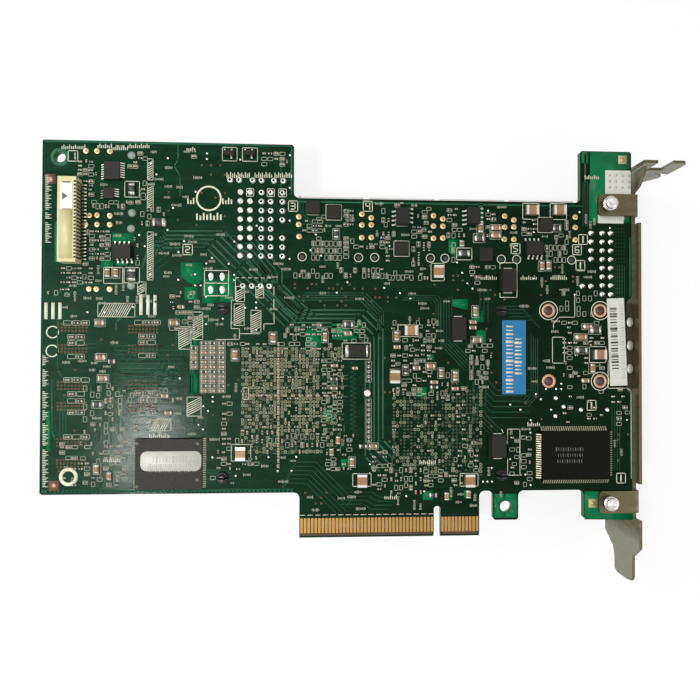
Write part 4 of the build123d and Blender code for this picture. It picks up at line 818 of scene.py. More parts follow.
# fields of small parts: box in photograph pixels, pitch, upright or not, colours, chance, share outlined
fields = [
    # left block: round the two side ports and the battery socket
    ((78, 158, 98, 176), (1.5, 1.15), 0, mixed, 0.75, 0.2),
    ((128, 157, 139, 168), (1.4, 1.1), 0, mixed, 0.8, 0.4),
    ((78, 180, 97, 196), (1.5, 1.2), 0, mixed, 0.7, 0.3),
    ((92, 199, 133, 209), (1.15, 1.6), 90, mixed, 0.85, 0.2),
    ((136, 180, 146, 208), (1.4, 1.2), 0, mixed, 0.6, 0.4),
    ((79, 229, 114, 260), (1.45, 1.25), 0, mixed, 0.72, 0.2),
    ((61, 262, 98, 284), (1.5, 1.3), 0, mixed, 0.72, 0.25),
    ((130, 206, 168, 226), (1.5, 1.3), 90, mixed, 0.5, 0.35),
    ((131, 232, 142, 265), (1.5, 1.6), 90, mixed, 0.6, 0.5),
    ((60, 284, 76, 296), (1.5, 1.4), 0, mixed, 0.6, 0.3),
    ((186, 150, 200, 158), (1.6, 1.4), 0, mixed, 0.7, 0.3),
    ((262, 148, 292, 166), (1.7, 1.5), 0, mixed, 0.6, 0.3),
    ((138, 148, 150, 160), (1.6, 1.4), 0, mixed, 0.6, 0.3),
    ((170, 290, 202, 330), (1.7, 1.5), 0, mixed, 0.42, 0.3),
    # above the controller and along the ports
    ((302, 206, 326, 232), (1.5, 1.3), 0, mixed, 0.5, 0.3),
    ((344, 208, 356, 226), (1.5, 1.3), 0, mixed, 0.6, 0.5),
    ((312, 236, 344, 260), (1.25, 2.0), 90, (tan, bare, bare, rust), 0.92, 0.9),
    ((344, 237, 354, 258), (1.9, 1.3), 0, (tan, bare), 0.95, 0.9),
    ((354, 236, 394, 262), (1.5, 1.3), 0, mixed, 0.55, 0.35),
    ((382, 205, 396, 236), (1.5, 1.3), 90, mixed, 0.62, 0.3),
    ((395, 199, 418, 207), (1.6, 1.3), 0, mixed, 0.7, 0.5),
    ((412, 205, 434, 238), (1.5, 1.4), 0, mixed, 0.5, 0.3),
    ((412, 240, 432, 266), (1.5, 1.4), 90, mixed, 0.65, 0.4),
    ((294, 268, 332, 278), (1.25, 1.8), 90, (tan, bare, bare), 0.6, 0.5),
    ((340, 266, 384, 278), (1.3, 1.5), 90, mixed, 0.6, 0.5),
    ((384, 270, 430, 280), (1.25, 1.8), 90, (tan, bare, bare), 0.6, 0.6),
    ((442, 206, 466, 236), (1.5, 1.4), 0, mixed, 0.45, 0.3),
    ((447, 228, 470, 262), (1.5, 1.4), 90, mixed, 0.55, 0.3),
    ((470, 262, 500, 284), (1.5, 1.5), 0, mixed, 0.35, 0.4),
    ((486, 206, 500, 240), (1.5, 1.4), 0, mixed, 0.42, 0.3),
    ((522, 218, 540, 240), (1.5, 1.4), 0, mixed, 0.42, 0.3),
    ((550, 218, 572, 244), (1.5, 1.4), 90, mixed, 0.6, 0.4),
    ((545, 244, 568, 256), (1.3, 1.8), 90, (tan, bare, bare), 0.8, 0.8),
    ((550, 256, 570, 262), (1.25, 1.9), 90, (bare,), 0.9, 1.0),
    # right of the bus, below the chips
    ((391, 320, 436, 372), (1.7, 1.45), 0, mixed, 0.45, 0.35),
    ((402, 350, 436, 395), (1.45, 1.25), 0, mixed, 0.62, 0.3),
    ((392, 380, 404, 392), (1.3, 1.5), 90, mixed, 0.8, 0.2),
    ((427, 318, 436, 348), (1.5, 1.4), 90, mixed, 0.6, 0.5),
    ((466, 336, 494, 352), (1.6, 1.5), 0, mixed, 0.4, 0.4),
    ((470, 352, 494, 384), (1.6, 1.4), 90, mixed, 0.55, 0.5),
    ((436, 370, 452, 400), (1.5, 1.3), 90, mixed, 0.55, 0.2),
    # round the controller
    ((228, 340, 284, 350), (1.6, 1.3), 0, mixed, 0.4, 0.2),
    ((284, 322, 332, 350), (1.55, 1.35), 0, mixed, 0.52, 0.3),
    ((332, 320, 368, 342), (1.6, 1.4), 0, mixed, 0.5, 0.3),
    ((322, 352, 345, 440), (1.5, 1.3), 0, mixed, 0.5, 0.15),
    ((222, 400, 236, 470), (1.5, 1.4), 0, mixed, 0.42, 0.1),
    ((236, 430, 330, 447), (1.4, 1.2), 90, mixed, 0.55, 0.1),
    ((205, 446, 236, 484), (1.6, 1.4), 0, mixed, 0.35, 0.2),
    ((326, 430, 356, 470), (1.5, 1.35), 0, mixed, 0.5, 0.25),
    ((236, 454, 262, 470), (1.7, 1.4), 0, mixed, 0.35, 0.3),
    # below and right of the expander
    ((372, 450, 392, 490), (1.5, 1.3), 0, mixed, 0.55, 0.3),
    ((390, 466, 424, 494), (1.4, 1.25), 90, mixed, 0.6, 0.35),
    ((424, 470, 458, 486), (1.4, 1.3), 0, mixed, 0.6, 0.3),
    ((452, 440, 482, 486), (1.6, 1.4), 0, mixed, 0.35, 0.3),
    ((456, 384, 470, 440), (1.6, 1.6), 0, mixed, 0.2, 0.2),
    ((510, 432, 534, 486), (1.7, 1.7), 0, (tan, bare), 0.3, 0.4),
    # inside the external port's outline and above the cache chip
    ((562, 320, 606, 384), (1.6, 1.45), 0, mixed, 0.45, 0.25),
    ((556, 384, 632, 425), (1.8, 1.6), 0, mixed, 0.24, 0.2),
    ((560, 290, 600, 316), (1.7, 1.5), 90, (tan, bare, bare), 0.3, 0.4),
    # left block's lower half: memory capacitors
    ((110, 388, 180, 402), (1.7, 1.6), 90, (tan, bare), 0.45, 0.4),
    ((60, 440, 132, 486), (1.7, 1.5), 0, mixed, 0.4, 0.3),
    ((84, 384, 128, 446), (1.9, 1.7), 90, (bare, tan), 0.22, 0.5),
    ((134, 415, 174, 432), (1.6, 1.4), 0, (bare, tan), 0.5, 0.6),
    ((40, 286, 60, 300), (1.6, 1.4), 0, mixed, 0.3, 0.2)]
for box, pitch, upright, colours, chance, outline in fields:
    parts(zone(*box), pitch, small, upright, colours, chance, outline)
tiny = (0.85, 0.45)
for box, pitch, upright, colours, chance, outline in fields:
    parts(zone(*box), (0.71, 0.67), tiny, upright, colours, chance * 0.16, outline)
    parts(zone(*box), (0.67, 0.71), tiny, 90 - upright, colours, chance * 0.12, outline)

# rows of outlined decoupling parts above, between and below the memory chips' via clusters
for first_px, rows_py in ((76.5, (323, 337, 343, 356.5, 380, 394, 401, 412.5, 437)),
                          (147.5, (322.5, 336.5, 342.5, 355.5, 393, 400, 413))):
    for row, py in enumerate(rows_py):
        for step in range(2 if row % 4 else 3):
            x, y = at(first_px - 9 + step * 9 + (4 if row % 4 else 0), py)
            outlines.append((x - 1.05, y - 0.62, x + 1.05, y + 0.62))
            if (row + step) % 3:
                part(x, y, 0, 1.2, 0.6, (tan, black)[step % 2])
            claim(x, y, 1.1, 0.7)
clusters = [(-101.95, 59.0), (-101.95, 53.1), (-101.95, 42.9), (-101.95, 37.2), (-101.95, 27.2),
            (-101.95, 21.4), (-82.7, 58.6), (-82.7, 53.1), (-82.7, 43.1), (-82.7, 36.9)]
brown_vias = [(x + (column - 4) * 0.95, y + (row - 1) * 0.95)
              for x, y in clusters for column in range(9) for row in range(3)]
for x, y in clusters:
    claim(x, y, 4.5, 1.6)

# the two large chips' fields, a millimetre apart: vias, thinner in the middle, with tiny capacitors
# between them
chip_fields = (((-41.1, 38.8), 29, 30), ((0.1, 29.4), 26, 25))
pale_rings, olive_vias, deep_vias = [], [], []
for ((x, y), across, up), field_vias, ring_share in zip(chip_fields, (olive_vias, deep_vias), (0.72, 0.36)):
    for column in range(across):
        for row in range(up):
            via_x, via_y = x + (column - across / 2 + 0.5), y + (row - up / 2 + 0.5)
            inner = abs(column - across / 2) < across * 0.3 and abs(row - up / 2) < up * 0.3
            chance = dice.random()
            if not is_free(via_x, via_y, 0.3, 0.3):
                continue
            if chance < (0.62 if inner else 0.74):
                field_vias.append((via_x, via_y))
                if dice.random() < ring_share:
                    pale_rings.append((via_x, via_y))
                claim(via_x, via_y, 0.3, 0.3)
            elif chance < 0.90 and is_free(via_x, via_y, 0.5, 0.5):
                part(via_x, via_y, 90 * int(dice.integers(2)), 0.95, 0.5,
                     (tan, black, tan)[int(dice.integers(3))])
                claim(via_x, via_y, 0.5, 0.4)
# rows of small parts down the controller's right side, across it and down the expander's left side
for py in np.arange(344, 470, 5.3):
    x, y = at(278.5, py)
    part(x, y, 90, 1.1, 0.62, rust)
for px in np.arange(252, 342, 8.2):
    x, y = at(px, 395.5)
    part(x, y, 0, 1.1, 0.6, rust)
for py in (*np.arange(364, 382, 5), *np.arange(402, 418, 5), *np.arange(424, 440, 5)):
    x, y = at(368.8, py)
    part(x, y, 90, 1.2, 0.7, black)
    outlines.append((x - 0.75, y - 0.85, x + 0.75, y + 0.85))
    claim(x, y, 0.8, 0.9)


def small_parts():
    """The bodies, a batch for each colour, and the ends that part() has listed."""
    rows, caps = np.array(bodies), np.array(ends)
    boxes = []
    for slot in (tan, black, rust):
        some = rows[rows[:, 6] == slot]
        boxes.append(stamped(unit_box, some[:, :2], some[:, 2], some[:, 3:6], 0, slot))
    return boxes, (end_cap, caps[:, :2], caps[:, 2], caps[:, 3:6])


body_batches, end_caps = small_parts()
new_piece("small_part_bodies", body_batches, [tan_ceramic, film_black, rust_ceramic])
new_piece("small_part_ends", [stamped(*end_caps)], [end_tin])

# Vias: small drilled and plated holes that carry traces through the board, dull brown under the mask's
# edge or filled with bright solder. Under the large chips fine pale lanes run between them.
vias, white_vias = [], []
via_room = 0.3


def via_field(box, pitch, chance, kind):
    """Vias on a grid in a board box, where there is room, at the given chance."""
    x0, y0, x1, y1 = box
    for x in np.arange(x0, x1, pitch):
        for y in np.arange(y0, y1, pitch):
            if dice.random() < chance and is_free(x, y, via_room, via_room):
                claim(x, y, via_room, via_room)
                kind.append((x, y))


for box, pitch, chance, kind in (
        ((60, 150, 290, 330), 1.55, 0.05, white_vias), ((150, 150, 225, 230), 1.3, 0.07, vias),
        ((300, 205, 630, 300), 1.5, 0.055, white_vias), ((295, 280, 400, 310), 1.2, 0.16, vias),
        ((430, 260, 600, 300), 1.35, 0.10, vias), ((380, 300, 500, 480), 1.4, 0.06, vias),
        ((430, 380, 480, 470), 1.3, 0.22, vias), ((370, 440, 500, 495), 1.3, 0.09, white_vias),
        ((500, 370, 640, 430), 1.5, 0.10, white_vias), ((505, 430, 540, 490), 1.5, 0.18, white_vias),
        ((613, 425, 632, 486), 1.5, 0.14, vias), ((60, 330, 240, 480), 1.4, 0.06, vias),
        ((180, 340, 300, 480), 1.3, 0.06, white_vias), ((520, 395, 560, 430), 1.6, 0.14, vias),
        ((300, 490, 480, 512), 1.5, 0.05, vias)):
    via_field(zone(*box), pitch, chance, kind)
row_px = np.arange(48, 292, 4.2)
bottom_row = at(row_px, np.full(len(row_px), 491.3))
grid_rows = [(x, y) for x in np.arange(52.5, 55.2, 0.8) for y in np.arange(70, 92, 1.1)]
dots = np.array(vias + brown_vias)
lanes, lane_width, lane_steps = [], 0.13, 3
for ((x, y), across, up), share in zip(chip_fields, (0.4, 0.10)):
    left, low = x - across / 2, y - up / 2
    for line in range(across + 1):
        for start in range(0, up, lane_steps):
            if dice.random() < share:
                reach = dice.integers(1, 4)
                lanes.append((left + line, low + start, left + line, low + start + reach, lane_width))
    for line in range(up + 1):
        for start in range(0, across, lane_steps):
            if dice.random() < share:
                reach = dice.integers(1, 4)
                lanes.append((left + start, low + line, left + start + reach, low + line, lane_width))
lane_grey = mottled("lane_grey", (0.13, 0.155, 0.095), (0.08, 0.105, 0.06), 300.0, 0.3, 0.5)
pale_ring = mottled("pale_ring", (0.29, 0.30, 0.19), (0.18, 0.19, 0.11), 900.0, 0.4, 0.6)
via_olive = mottled("via_olive", (0.17, 0.135, 0.070), (0.10, 0.085, 0.045), 500.0, 0.4, 0.55)
via_deep = mottled("via_deep", (0.075, 0.070, 0.042), (0.040, 0.042, 0.026), 300.0, 0.4, 0.55)
new_piece("chip_lanes", [strokes(lanes, copper_high)], [lane_grey])
new_piece("vias", [
    stamped(fine_dot, dots, 0, (0.32, 0.32, 0.025)),
    stamped(fine_dot, olive_vias, 0, (0.33, 0.33, 0.025), slot=5),
    stamped(fine_dot, deep_vias, 0, (0.33, 0.33, 0.025), slot=6),
    stamped(fine_dot, np.concatenate([dots, olive_vias, deep_vias]), 15, (0.15, 0.15, 0.035), slot=1),
    stamped(fine_dot, white_vias, 0, (0.34, 0.34, 0.05), slot=2),
    stamped(ring_of(0.66, 8), pale_rings, 0, (0.46, 0.46, 0.045), slot=4),
    stamped(fine_dot, bottom_row, 0, (0.3, 0.3, 0.03), slot=3),
    stamped(fine_dot, grid_rows, 0, (0.14, 0.14, 0.02), slot=3)],
    [via_brown, dark_hole, solder, line_green, pale_ring, via_olive, via_deep])

# Printed marks: white ink screened over the mask as outlines round parts, hatched blocks, boxed numerals
# and rows of plain bars.
strip, thin_strip, hatch_edge, hatch_line, hatch_gap = 0.17, 0.13, 0.15, 0.2, 0.62
outline_lines, thin_lines = [], []
for box in outlines:
    thin_lines += box_lines(*box, thin_strip)
frames = [
    (-61.1, 110.0, -57.0, 106.2), (-55.5, 110.0, -51.3, 106.2), (24.9, 95.6, 29.7, 91.0),
    (33.0, 95.6, 37.8, 91.0), (-1.8, 77.9, 2.0, 72.9), (-11.3, 60.2, -5.5, 56.9),
    (-24.1, 18.0, -18.9, 14.4), (6.6, 17.8, 11.8, 14.2), (18.2, 78.3, 23.2, 68.3),
    (-27.2, 55.0, -19.2, 50.4), (44.5, 54.2, 49.4, 49.6), (-55.0, 42.3, -53.5, 39.0),
    (-58.2, 26.4, -52.8, 21.8), (-37.3, 95.0, -33.7, 91.3), (-31.9, 94.3, -27.5, 89.9),
    (-12.5, 84.2, -8.1, 79.8), (29.3, 91.6, 33.7, 87.2), (-88.0, 99.9, -84.0, 95.5),
    (-88.0, 75.8, -83.8, 71.5), (-93.6, 75.8, -88.4, 71.3), (5.6, 82.4, 10.0, 79.0),
    (-54.3, 98.5, -52.3, 96.3), (-48.5, 98.5, -46.5, 96.3), (-45.3, 98.5, -43.1, 96.3),
    (33.6, 56.9, 37.1, 49.4), (20.4, 30.4, 24.0, 17.2)]
for box in frames:
    outline_lines += box_lines(*box, strip)
for points in (
        [(-57.3, 73.2), (-57.3, 66.9), (-58.4, 66.9), (-58.4, 58.9), (-56.1, 58.9), (-56.1, 55.9),
         (-62.6, 55.8)],
        [(-46.5, 70.7), (-46.5, 68.4)], [(-46.5, 67.3), (-46.5, 64.5)],
        [(-46.5, 63.4), (-46.4, 60.3), (-49.3, 60.3), (-49.3, 58.7)], [(-56.1, 57.5), (-50.4, 57.5)],
        [(40.2, 69.0), (40.2, 62.7), (35.6, 62.7), (33.9, 60.8), (33.9, 59.5)],
        [(50.1, 50.3), (50.0, 42.1), (55.7, 42.2), (56.9, 41.3), (56.9, 16.0)],
        [(18.7, 30.4), (20.4, 26.0), (20.4, 22.0)]):
    outline_lines += path(points, strip)
for step in range(6):
    outline_lines.append((-57.3 + step * 1.8, 73.25, -56.4 + step * 1.8, 73.25, strip))

hatches = []
for x0, y0, x1, y1 in (
        (-57.1, 66.5, -54.7, 70.8), (-51.6, 67.6, -49.4, 70.8), (-57.6, 59.8, -54.8, 65.9),
        (-52.9, 57.9, -50.1, 64.1),
        (-69.0, 55.8, -66.3, 63.5), (-72.9, 53.1, -69.5, 59.4), (-81.8, 100.4, -80.3, 106.3),
        (-81.8, 92.7, -80.2, 99.0), (-81.7, 72.4, -80.1, 85.8), (-84.3, 68.2, -82.0, 71.8),
        (-70.5, 34.4, -66.6, 39.7), (-80.7, 30.3, -74.9, 33.6), (-95.1, 62.0, -85.0, 65.8)):
    slant = min(x1 - x0, y1 - y0) * 0.5
    if y1 - y0 > x1 - x0:
        hatches += [(x0 + 0.1, y0 + step, x1 - 0.1, y0 + step + slant, hatch_line)
                    for step in np.arange(0.2, y1 - y0 - slant, hatch_gap)]
    else:
        hatches += [(x0 + step, y0 + 0.1, x0 + step + slant, y1 - 0.1, hatch_line)
                    for step in np.arange(0.2, x1 - x0 - slant, hatch_gap)]
    hatches += box_lines(x0, y0, x1, y1, hatch_edge)

# numerals are drawn as seven straight strokes, in boxes beside the ports; other boxes hold one stroke
segments = {"a": (0, 2, 1, 2), "b": (1, 2, 1, 1), "c": (1, 1, 1, 0), "d": (0, 0, 1, 0), "e": (0, 1, 0, 0),
            "f": (0, 2, 0, 1), "g": (0, 1, 1, 1)}
numerals = []
for (x, y), lit in (((-102.2, 106.7), "bc"), ((-70.6, 81.0), "abged"), ((-41.2, 93.7), "abgcd"),
                    ((-20.0, 94.0), "fgbc"), ((22.8, 82.4), "afgcd"), ((40.9, 82.3), "afgedc")):
    outline_lines += box_lines(x - 1.3, y - 1.45, x + 1.3, y + 1.45, 0.2)
    numerals += [(x - 0.55 + 1.1 * x0, y - 0.85 + 0.85 * y0, x - 0.55 + 1.1 * x1, y - 0.85 + 0.85 * y1, 0.26)
                 for x0, y0, x1, y1 in (segments[mark] for mark in lit)]
for x, y in ((42.7, 85.3), (41.9, 77.8), (45.1, 37.2), (53.8, 16.1)):
    outline_lines += box_lines(x - 1.3, y - 1.4, x + 1.3, y + 1.4, 0.2)
    numerals.append((x, y - 0.8, x, y + 0.8, 0.4))

# rows of plain bars: up the board's left edge, along its top and beside its parts, in the room left free
for start, stop, px, half in ((176, 210, 48.6, 0.8), (213, 220, 48.6, 0.8), (223, 244, 48.6, 0.8),
                              (356, 366, 45.6, 0.7), (370, 386, 45.6, 0.7), (392, 408, 45.6, 0.7),
                              (411, 420, 45.6, 0.7), (424, 446, 45.6, 0.7), (450, 488, 45.6, 0.7)):
    for step, py in enumerate(np.arange(start, stop, 1.75)):
        x, y = at(px, py)
        short = half * (0.35, 0.9, 0.6, 0.95, 0.5)[step % 5]
        bars.append((x - half, y, x - half + 2 * short, y, 0.22))
for first, last, py, half, wide in ((227, 250, 175, 0.7, 0.24), (255, 272, 175, 0.7, 0.24),
                                    (275, 292, 175, 0.7, 0.24), (197, 222, 216.4, 0.8, 0.5),
                                    (223, 234, 201, 0.7, 0.4), (188, 194, 201, 0.7, 0.4)):
    for step, px in enumerate(np.arange(first, last, wide * 6 + 0.4)):
        x, y = at(px, py)
        short = half * (0.9, 0.5, 1.0, 0.7)[step % 4]
        bars.append((x, y - half, x, y - half + 2 * short, wide))
for px, py, half, wide in ((46, 311, 1.9, 0.9), (53, 311, 1.9, 0.9), (60, 311, 1.9, 0.9),
                           (141, 305, 2.4, 0.9),
                           (148, 305, 2.4, 0.9), (155, 305, 2.4, 0.9)):
    x, y = at(px, py)
    bars.append((x, y - half, x, y + half, wide))
for (first, last), py in (((62, 86), 147), ((98, 112), 146), ((112, 128), 148), ((128, 150), 146),
                          ((187, 196), 149), ((481, 497), 277.5), ((521, 537), 277.5), ((551, 567), 277.5),
                          ((385, 398), 497), ((150, 170), 436), ((104, 120), 460), ((420, 436), 462),
                          ((528, 540), 424), ((585, 600), 177)):
    for px in np.arange(first, last, 1.9):
        x, y = at(px, py)
        bars.append((x, y - 0.5, x, y + 0.5 * (0.2 if int(px) % 3 else 1.0), 0.24))
for box, count, upright in (
        ((60, 176, 132, 240), 60, False), ((60, 240, 146, 300), 60, True), ((150, 150, 215, 270), 26, False),
        ((60, 142, 150, 156), 30, False), ((78, 200, 146, 300), 80, False), ((60, 262, 100, 300), 40, False),
        ((160, 230, 290, 330), 44, False), ((60, 300, 230, 480), 120, False),
        ((296, 198, 500, 300), 95, False), ((302, 205, 500, 284), 95, True),
        ((500, 200, 632, 300), 50, False), ((390, 300, 500, 390), 36, False),
        ((391, 318, 440, 380), 60, True), ((540, 210, 600, 290), 34, True),
        ((520, 300, 632, 430), 46, False), ((360, 440, 505, 510), 44, True),
        ((500, 420, 632, 490), 40, True), ((190, 430, 300, 500), 26, False),
        ((300, 490, 480, 512), 24, False), ((280, 320, 345, 440), 40, True),
        ((228, 335, 345, 440), 120, True), ((396, 392, 466, 474), 60, False)):
    bars_in(zone(*box), count, upright)
thin_print = mottled("thin_print", (0.44, 0.45, 0.35), (0.33, 0.34, 0.26), 600.0, 0.5, 0.7)
thin_below = 0.2
thin_lines += [row for row in bars if row[4] < thin_below]
bars = [row for row in bars if row[4] >= thin_below]
new_piece("printed_marks", [
    strokes(outline_lines, 0.05), strokes(hatches, 0.045), strokes(numerals, 0.055), strokes(bars, 0.05),
    strokes(thin_lines, 0.045, slot=1)], [print_white, thin_print])

# Sense resistor's ends: tinned plates folded over both ends of its body, the left one wider as the
# photograph shows it.
low, high = (((np.array(corner) - zero) / millimetre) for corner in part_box("sense_resistor"))
left_plate, right_plate = 0.9, 0.5
new_piece("sense_resistor_ends", [
    plates([(low[0], low[1], low[0] + left_plate, high[1]),
            (high[0] - right_plate, low[1], high[0], high[1])], 0.04, high[2])], [end_tin])

# Marks on the labels and chips: rows of plain bars, printed in ink on the labels and lasered into the
# chip, and the shallow round dents that ejector pins leave in the flash chip.


def bar_rows(corner, along, rows):
    """Bars in rows: each row gives its offset across the label, its first and last place along it, bar
    pitch, bar height and bar width; the label runs from its corner along a unit vector."""
    corner, along = np.array(corner, float), np.array(along, float)
    across = np.array([-along[1], along[0]])
    lines = []
    for offset, first, last, pitch, tall, wide in rows:
        for step in np.arange(first, last, pitch):
            middle = corner + along * step + across * offset
            lines.append((*(middle - across * tall / 2), *(middle + across * tall / 2),
                          wide * (1.7, 1.0, 0.8, 1.3, 0.7)[int(round(step / pitch)) % 5]))
    return lines


chip_high, cache_high = top_of("flash_chip"), top_of("cache_chip")
sheet_thick, ink_thick = 0.1, 0.03
label_high = chip_high + sheet_thick
arc = [(math.cos(turn) * 1.7, math.sin(turn) * 1.7) for turn in np.linspace(0, math.pi / 2, 6)]
left, right, low, high = -81.1, -67.9, 21.1, 23.1
rounded = ([(right + x, high + y) for x, y in arc] + [(left - y, high + x) for x, y in arc]
           + [(left - x, low - y) for x, y in arc] + [(right + y, low - x) for x, y in arc])
flash_sheet = new_piece("flash_label_sheet", [sheet(rounded, sheet_thick, chip_high)], [label_white])
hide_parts("flash_label")
ink = material_of("label_ink", (0.10, 0.10, 0.095), 0.6)
faint_ink = material_of("faint_ink", (0.44, 0.44, 0.40), 0.6)
chip_grey = mottled("chip_grey", (0.10, 0.10, 0.095), (0.07, 0.07, 0.065), 900.0, 0.4, 0.6)
dots_grid = [(50.6 + column * 1.9, 100.6 + row * 1.75) for column in range(4) for row in range(3)]
ejector_marks = [at(px, py) for px, py in ((198.7, 443.2), (198.2, 478.9), (138.6, 443), (138.1, 485.9))]
bar_label_run = (50.0, 67.9), (0.039, -0.999)
new_piece("label_marks", [
    strokes(bar_rows((19.4, 60.9), (0, -1), [
        (4.1, 4.6, 15.5, 1.1, 1.5, 0.45), (1.6, 1.0, 19.8, 1.1, 1.6, 0.45)]), ink_thick,
        top_of("blue_label")),
    strokes(bar_rows(*bar_label_run, [(1.4, 2.6, 20.6, 0.83, 1.7, 0.3), (1.4, 3.0, 20.6, 1.9, 1.7, 0.3)]),
            ink_thick, top_of("bar_label"), 1),
    strokes(bar_rows(*bar_label_run, [(3.7, 2.0, 23.0, 0.8, 1.0, 0.2)]), ink_thick, top_of("bar_label"), 2),
    strokes(bar_rows((-82.5, 23.8), (1, 0), [
        (-1.2, 3.2, 14.2, 0.9, 1.5, 0.25), (-3.6, 1.9, 15.2, 0.52, 1.8, 0.2)]), ink_thick, label_high, 2),
    strokes(bar_rows((47.6, 93.0), (1, 0), [(-1.2, 0.4, 7.4, 0.62, 1.2, 0.2)]),
            ink_thick, top_of("tab_labels"), 2),
    stamped(dot, dots_grid, 0, (0.42, 0.42, 0.03), top_of("tab_labels"), slot=2),
    stamped(dot, ejector_marks, 0, (0.5, 0.5, 0.02), chip_high, slot=3),
    strokes(bar_rows((34.0, 26.0), (1, 0), [(-1.2, 0, 8, 0.7, 0.8, 0.2), (-2.9, 0.6, 8, 0.7, 0.8, 0.2),
                                            (-4.6, 0.4, 8, 0.7, 0.8, 0.2)]), 0.02, cache_high, 3)],
    [label_white, ink, faint_ink, chip_grey])

# Battery socket's open side: black contact slots down the right-hand wall between cream ribs, the pale feet
# of the contacts, and the closed cream face that the photograph shows over the trough.
wall_x = (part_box("battery_socket")[1].x - zero[0]) / millimetre
socket_top = top_of("battery_socket")
slot_rows = [77.7 + step * 0.98 for step in range(22)]
slots = [(wall_x + 0.01, y, wall_x + 0.05, y + 0.5) for y in slot_rows]
slot_ends = [(wall_x - 0.55, y, wall_x + 0.01, y + 0.5) for y in slot_rows]
feet = [(wall_x, y + 0.1, wall_x + 1.3, y + 0.42) for y in slot_rows]
new_piece("battery_socket_face", [
    plates([(-104.0, 77.5, -100.5, 90.95)], 0.05, socket_top - 0.02), plates(slots, 2.6, 0.45, slot=1),
    plates(slot_ends, 0.03, socket_top, slot=1), plates(feet, 0.22, 0.0, slot=2)], [cream, dark_hole, tin])

# Tape arrow: a dark triangle printed on the socket's film, pointing to its first contact.
tape_high = top_of("pickup_tape")
tip_x, tip_y = at(67.5, 196, tape_high)
arrow = [(tip_x, tip_y), (tip_x - 1.5, tip_y + 1.05), (tip_x - 1.5, tip_y - 1.05)]
new_piece("tape_arrow", [sheet(arrow, 0.03, tape_high)], [ink])

# Laminate between the contacts: bare board, sawn and bevelled with the contacts, with a brown tint where
# the plating bath has bled, and the row of short printed strokes above it.
gap_brown = mottled("gap_brown", (0.085, 0.050, 0.018), (0.060, 0.036, 0.014), 400.0, 0.4, 0.6)
stroke_places = np.arange(-39, -2, 2.15)
new_piece("contact_gaps", [plates([(-39.0, 0.6, -1.3, 5.4), (1.5, 0.6, 11.6, 5.4)], 0.01),
                           plates([(x, 6.35, x + 1.6, 6.5) for x in stroke_places], 0.03, slot=1)],
          [gap_brown, print_white])

# Gasket fingers: bumps pressed into the sprung strip of the external port's gasket, bright where they rub
# on the bracket, seen past the board's edge.
finger_grey = mottled("finger_grey", (0.50, 0.48, 0.42), (0.38, 0.36, 0.31), 400.0, 0.3, 0.45, metallic=0.6)
finger_base = top_of("external_port_gasket") - 0.2
new_piece("gasket_fingers", [
    stamped(mound, [(57.05, 47.8), (57.05, 54.6), (57.05, 61.4)], 0, (1.1, 1.55, 0.45), finger_base)],
    [finger_grey], smooth=True)

# Component side's small parts: the same kinds of parts, vias, traces and print as on the solder side, turned
# over, in the room that the chips, ports, coils and the heat sink leave. The photograph doesn't show them.
bodies, ends, outlines, bars, vias = [], [], [], [], []
taken = np.zeros_like(taken)
for cut in ((-111, 0, -39.2, 13.6), (-41.9, 95.2, 42.8, 112), (-1.3, 0, 1.3, 9), (12.0, 0, 16.3, 13.4),
            (23.4, 0, 43.0, 13.4), (16, 0, 24, 12), (42, 0, 58, 13.4), (-40, 0, 13, 8.4),
            (-111, 110, 58, 112),
            (-111, 0, -109.4, 112), (56, 0, 58, 112), (-109.5, 102.4, -101.7, 110.2), (43, 90, 57, 112)):
    taken[cells(*cut)] = True
below_face, clear_round = -board_thick - 0.1, 0.5
claim_faces(("circuit_board", "edge_contacts", "bracket"), lambda low, high: low < below_face, clear_round)
under_frames = []
frame_gap, frame_top, port_row_top, side_ports_right = 0.35, 110.4, 94.8, -80
for name in memory_chips + [port + "_shell" for port in internal_ports]:
    low, high = (((np.array(corner) - zero) / millimetre)[:2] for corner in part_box(name))
    x0, y0, x1 = max(low[0] - frame_gap, left_end + 0.3), low[1] - frame_gap, high[0] + frame_gap
    in_top_row = not name.startswith("memory") and x1 >= side_ports_right
    y1 = port_row_top if in_top_row else min(high[1] + frame_gap, frame_top)
    under_frames += box_lines(x0, y0, x1, y1, hatch_edge)
whole_side = (-110, 14, 56, 110)
for pitch, size, upright, colours, chance, outline in (
        ((6.1, 5.3), large, 0, mixed, 0.4, 0.7), ((4.7, 5.9), medium, 90, mixed, 0.4, 0.5),
        ((2.1, 2.3), (1.2, 0.6), 0, (tan, black), 0.3, 0.3),
        ((2.3, 1.9), small, 90, (tan, black), 0.3, 0.25)):
    parts(whole_side, pitch, size, upright, colours, chance, outline)
via_field(whole_side, 1.3, 0.09, vias)
bars_in((-108, 15, 55, 109), 260, False)
bars_in((-108, 15, 55, 109), 120, True)
for box in outlines:
    under_frames += box_lines(*box, thin_strip)
under_lines = []
for start_x, start_y, end_x, end_y, count, gap in (
        (-95.0, 60.5, -60, 60.5, 7, 0.5), (-94.5, 44.5, -62, 44.5, 9, 0.42), (-94.0, 27.5, -64, 27.5, 7, 0.5),
        (-64.5, 56, -64.5, 26, 5, 0.6), (-60, 70, -44, 70, 5, 0.55), (-38, 12.5, 10, 12.5, 4, 0.5),
        (-88.5, 75, -88.5, 104, 6, 0.7), (-76, 72, -76, 108, 8, 0.6)):
    level = start_y == end_y
    for step in range(count):
        shift = (0, step * gap) if level else (step * gap, 0)
        under_lines.append((start_x + shift[0], start_y + shift[1], end_x + shift[0], end_y + shift[1], 0.2))


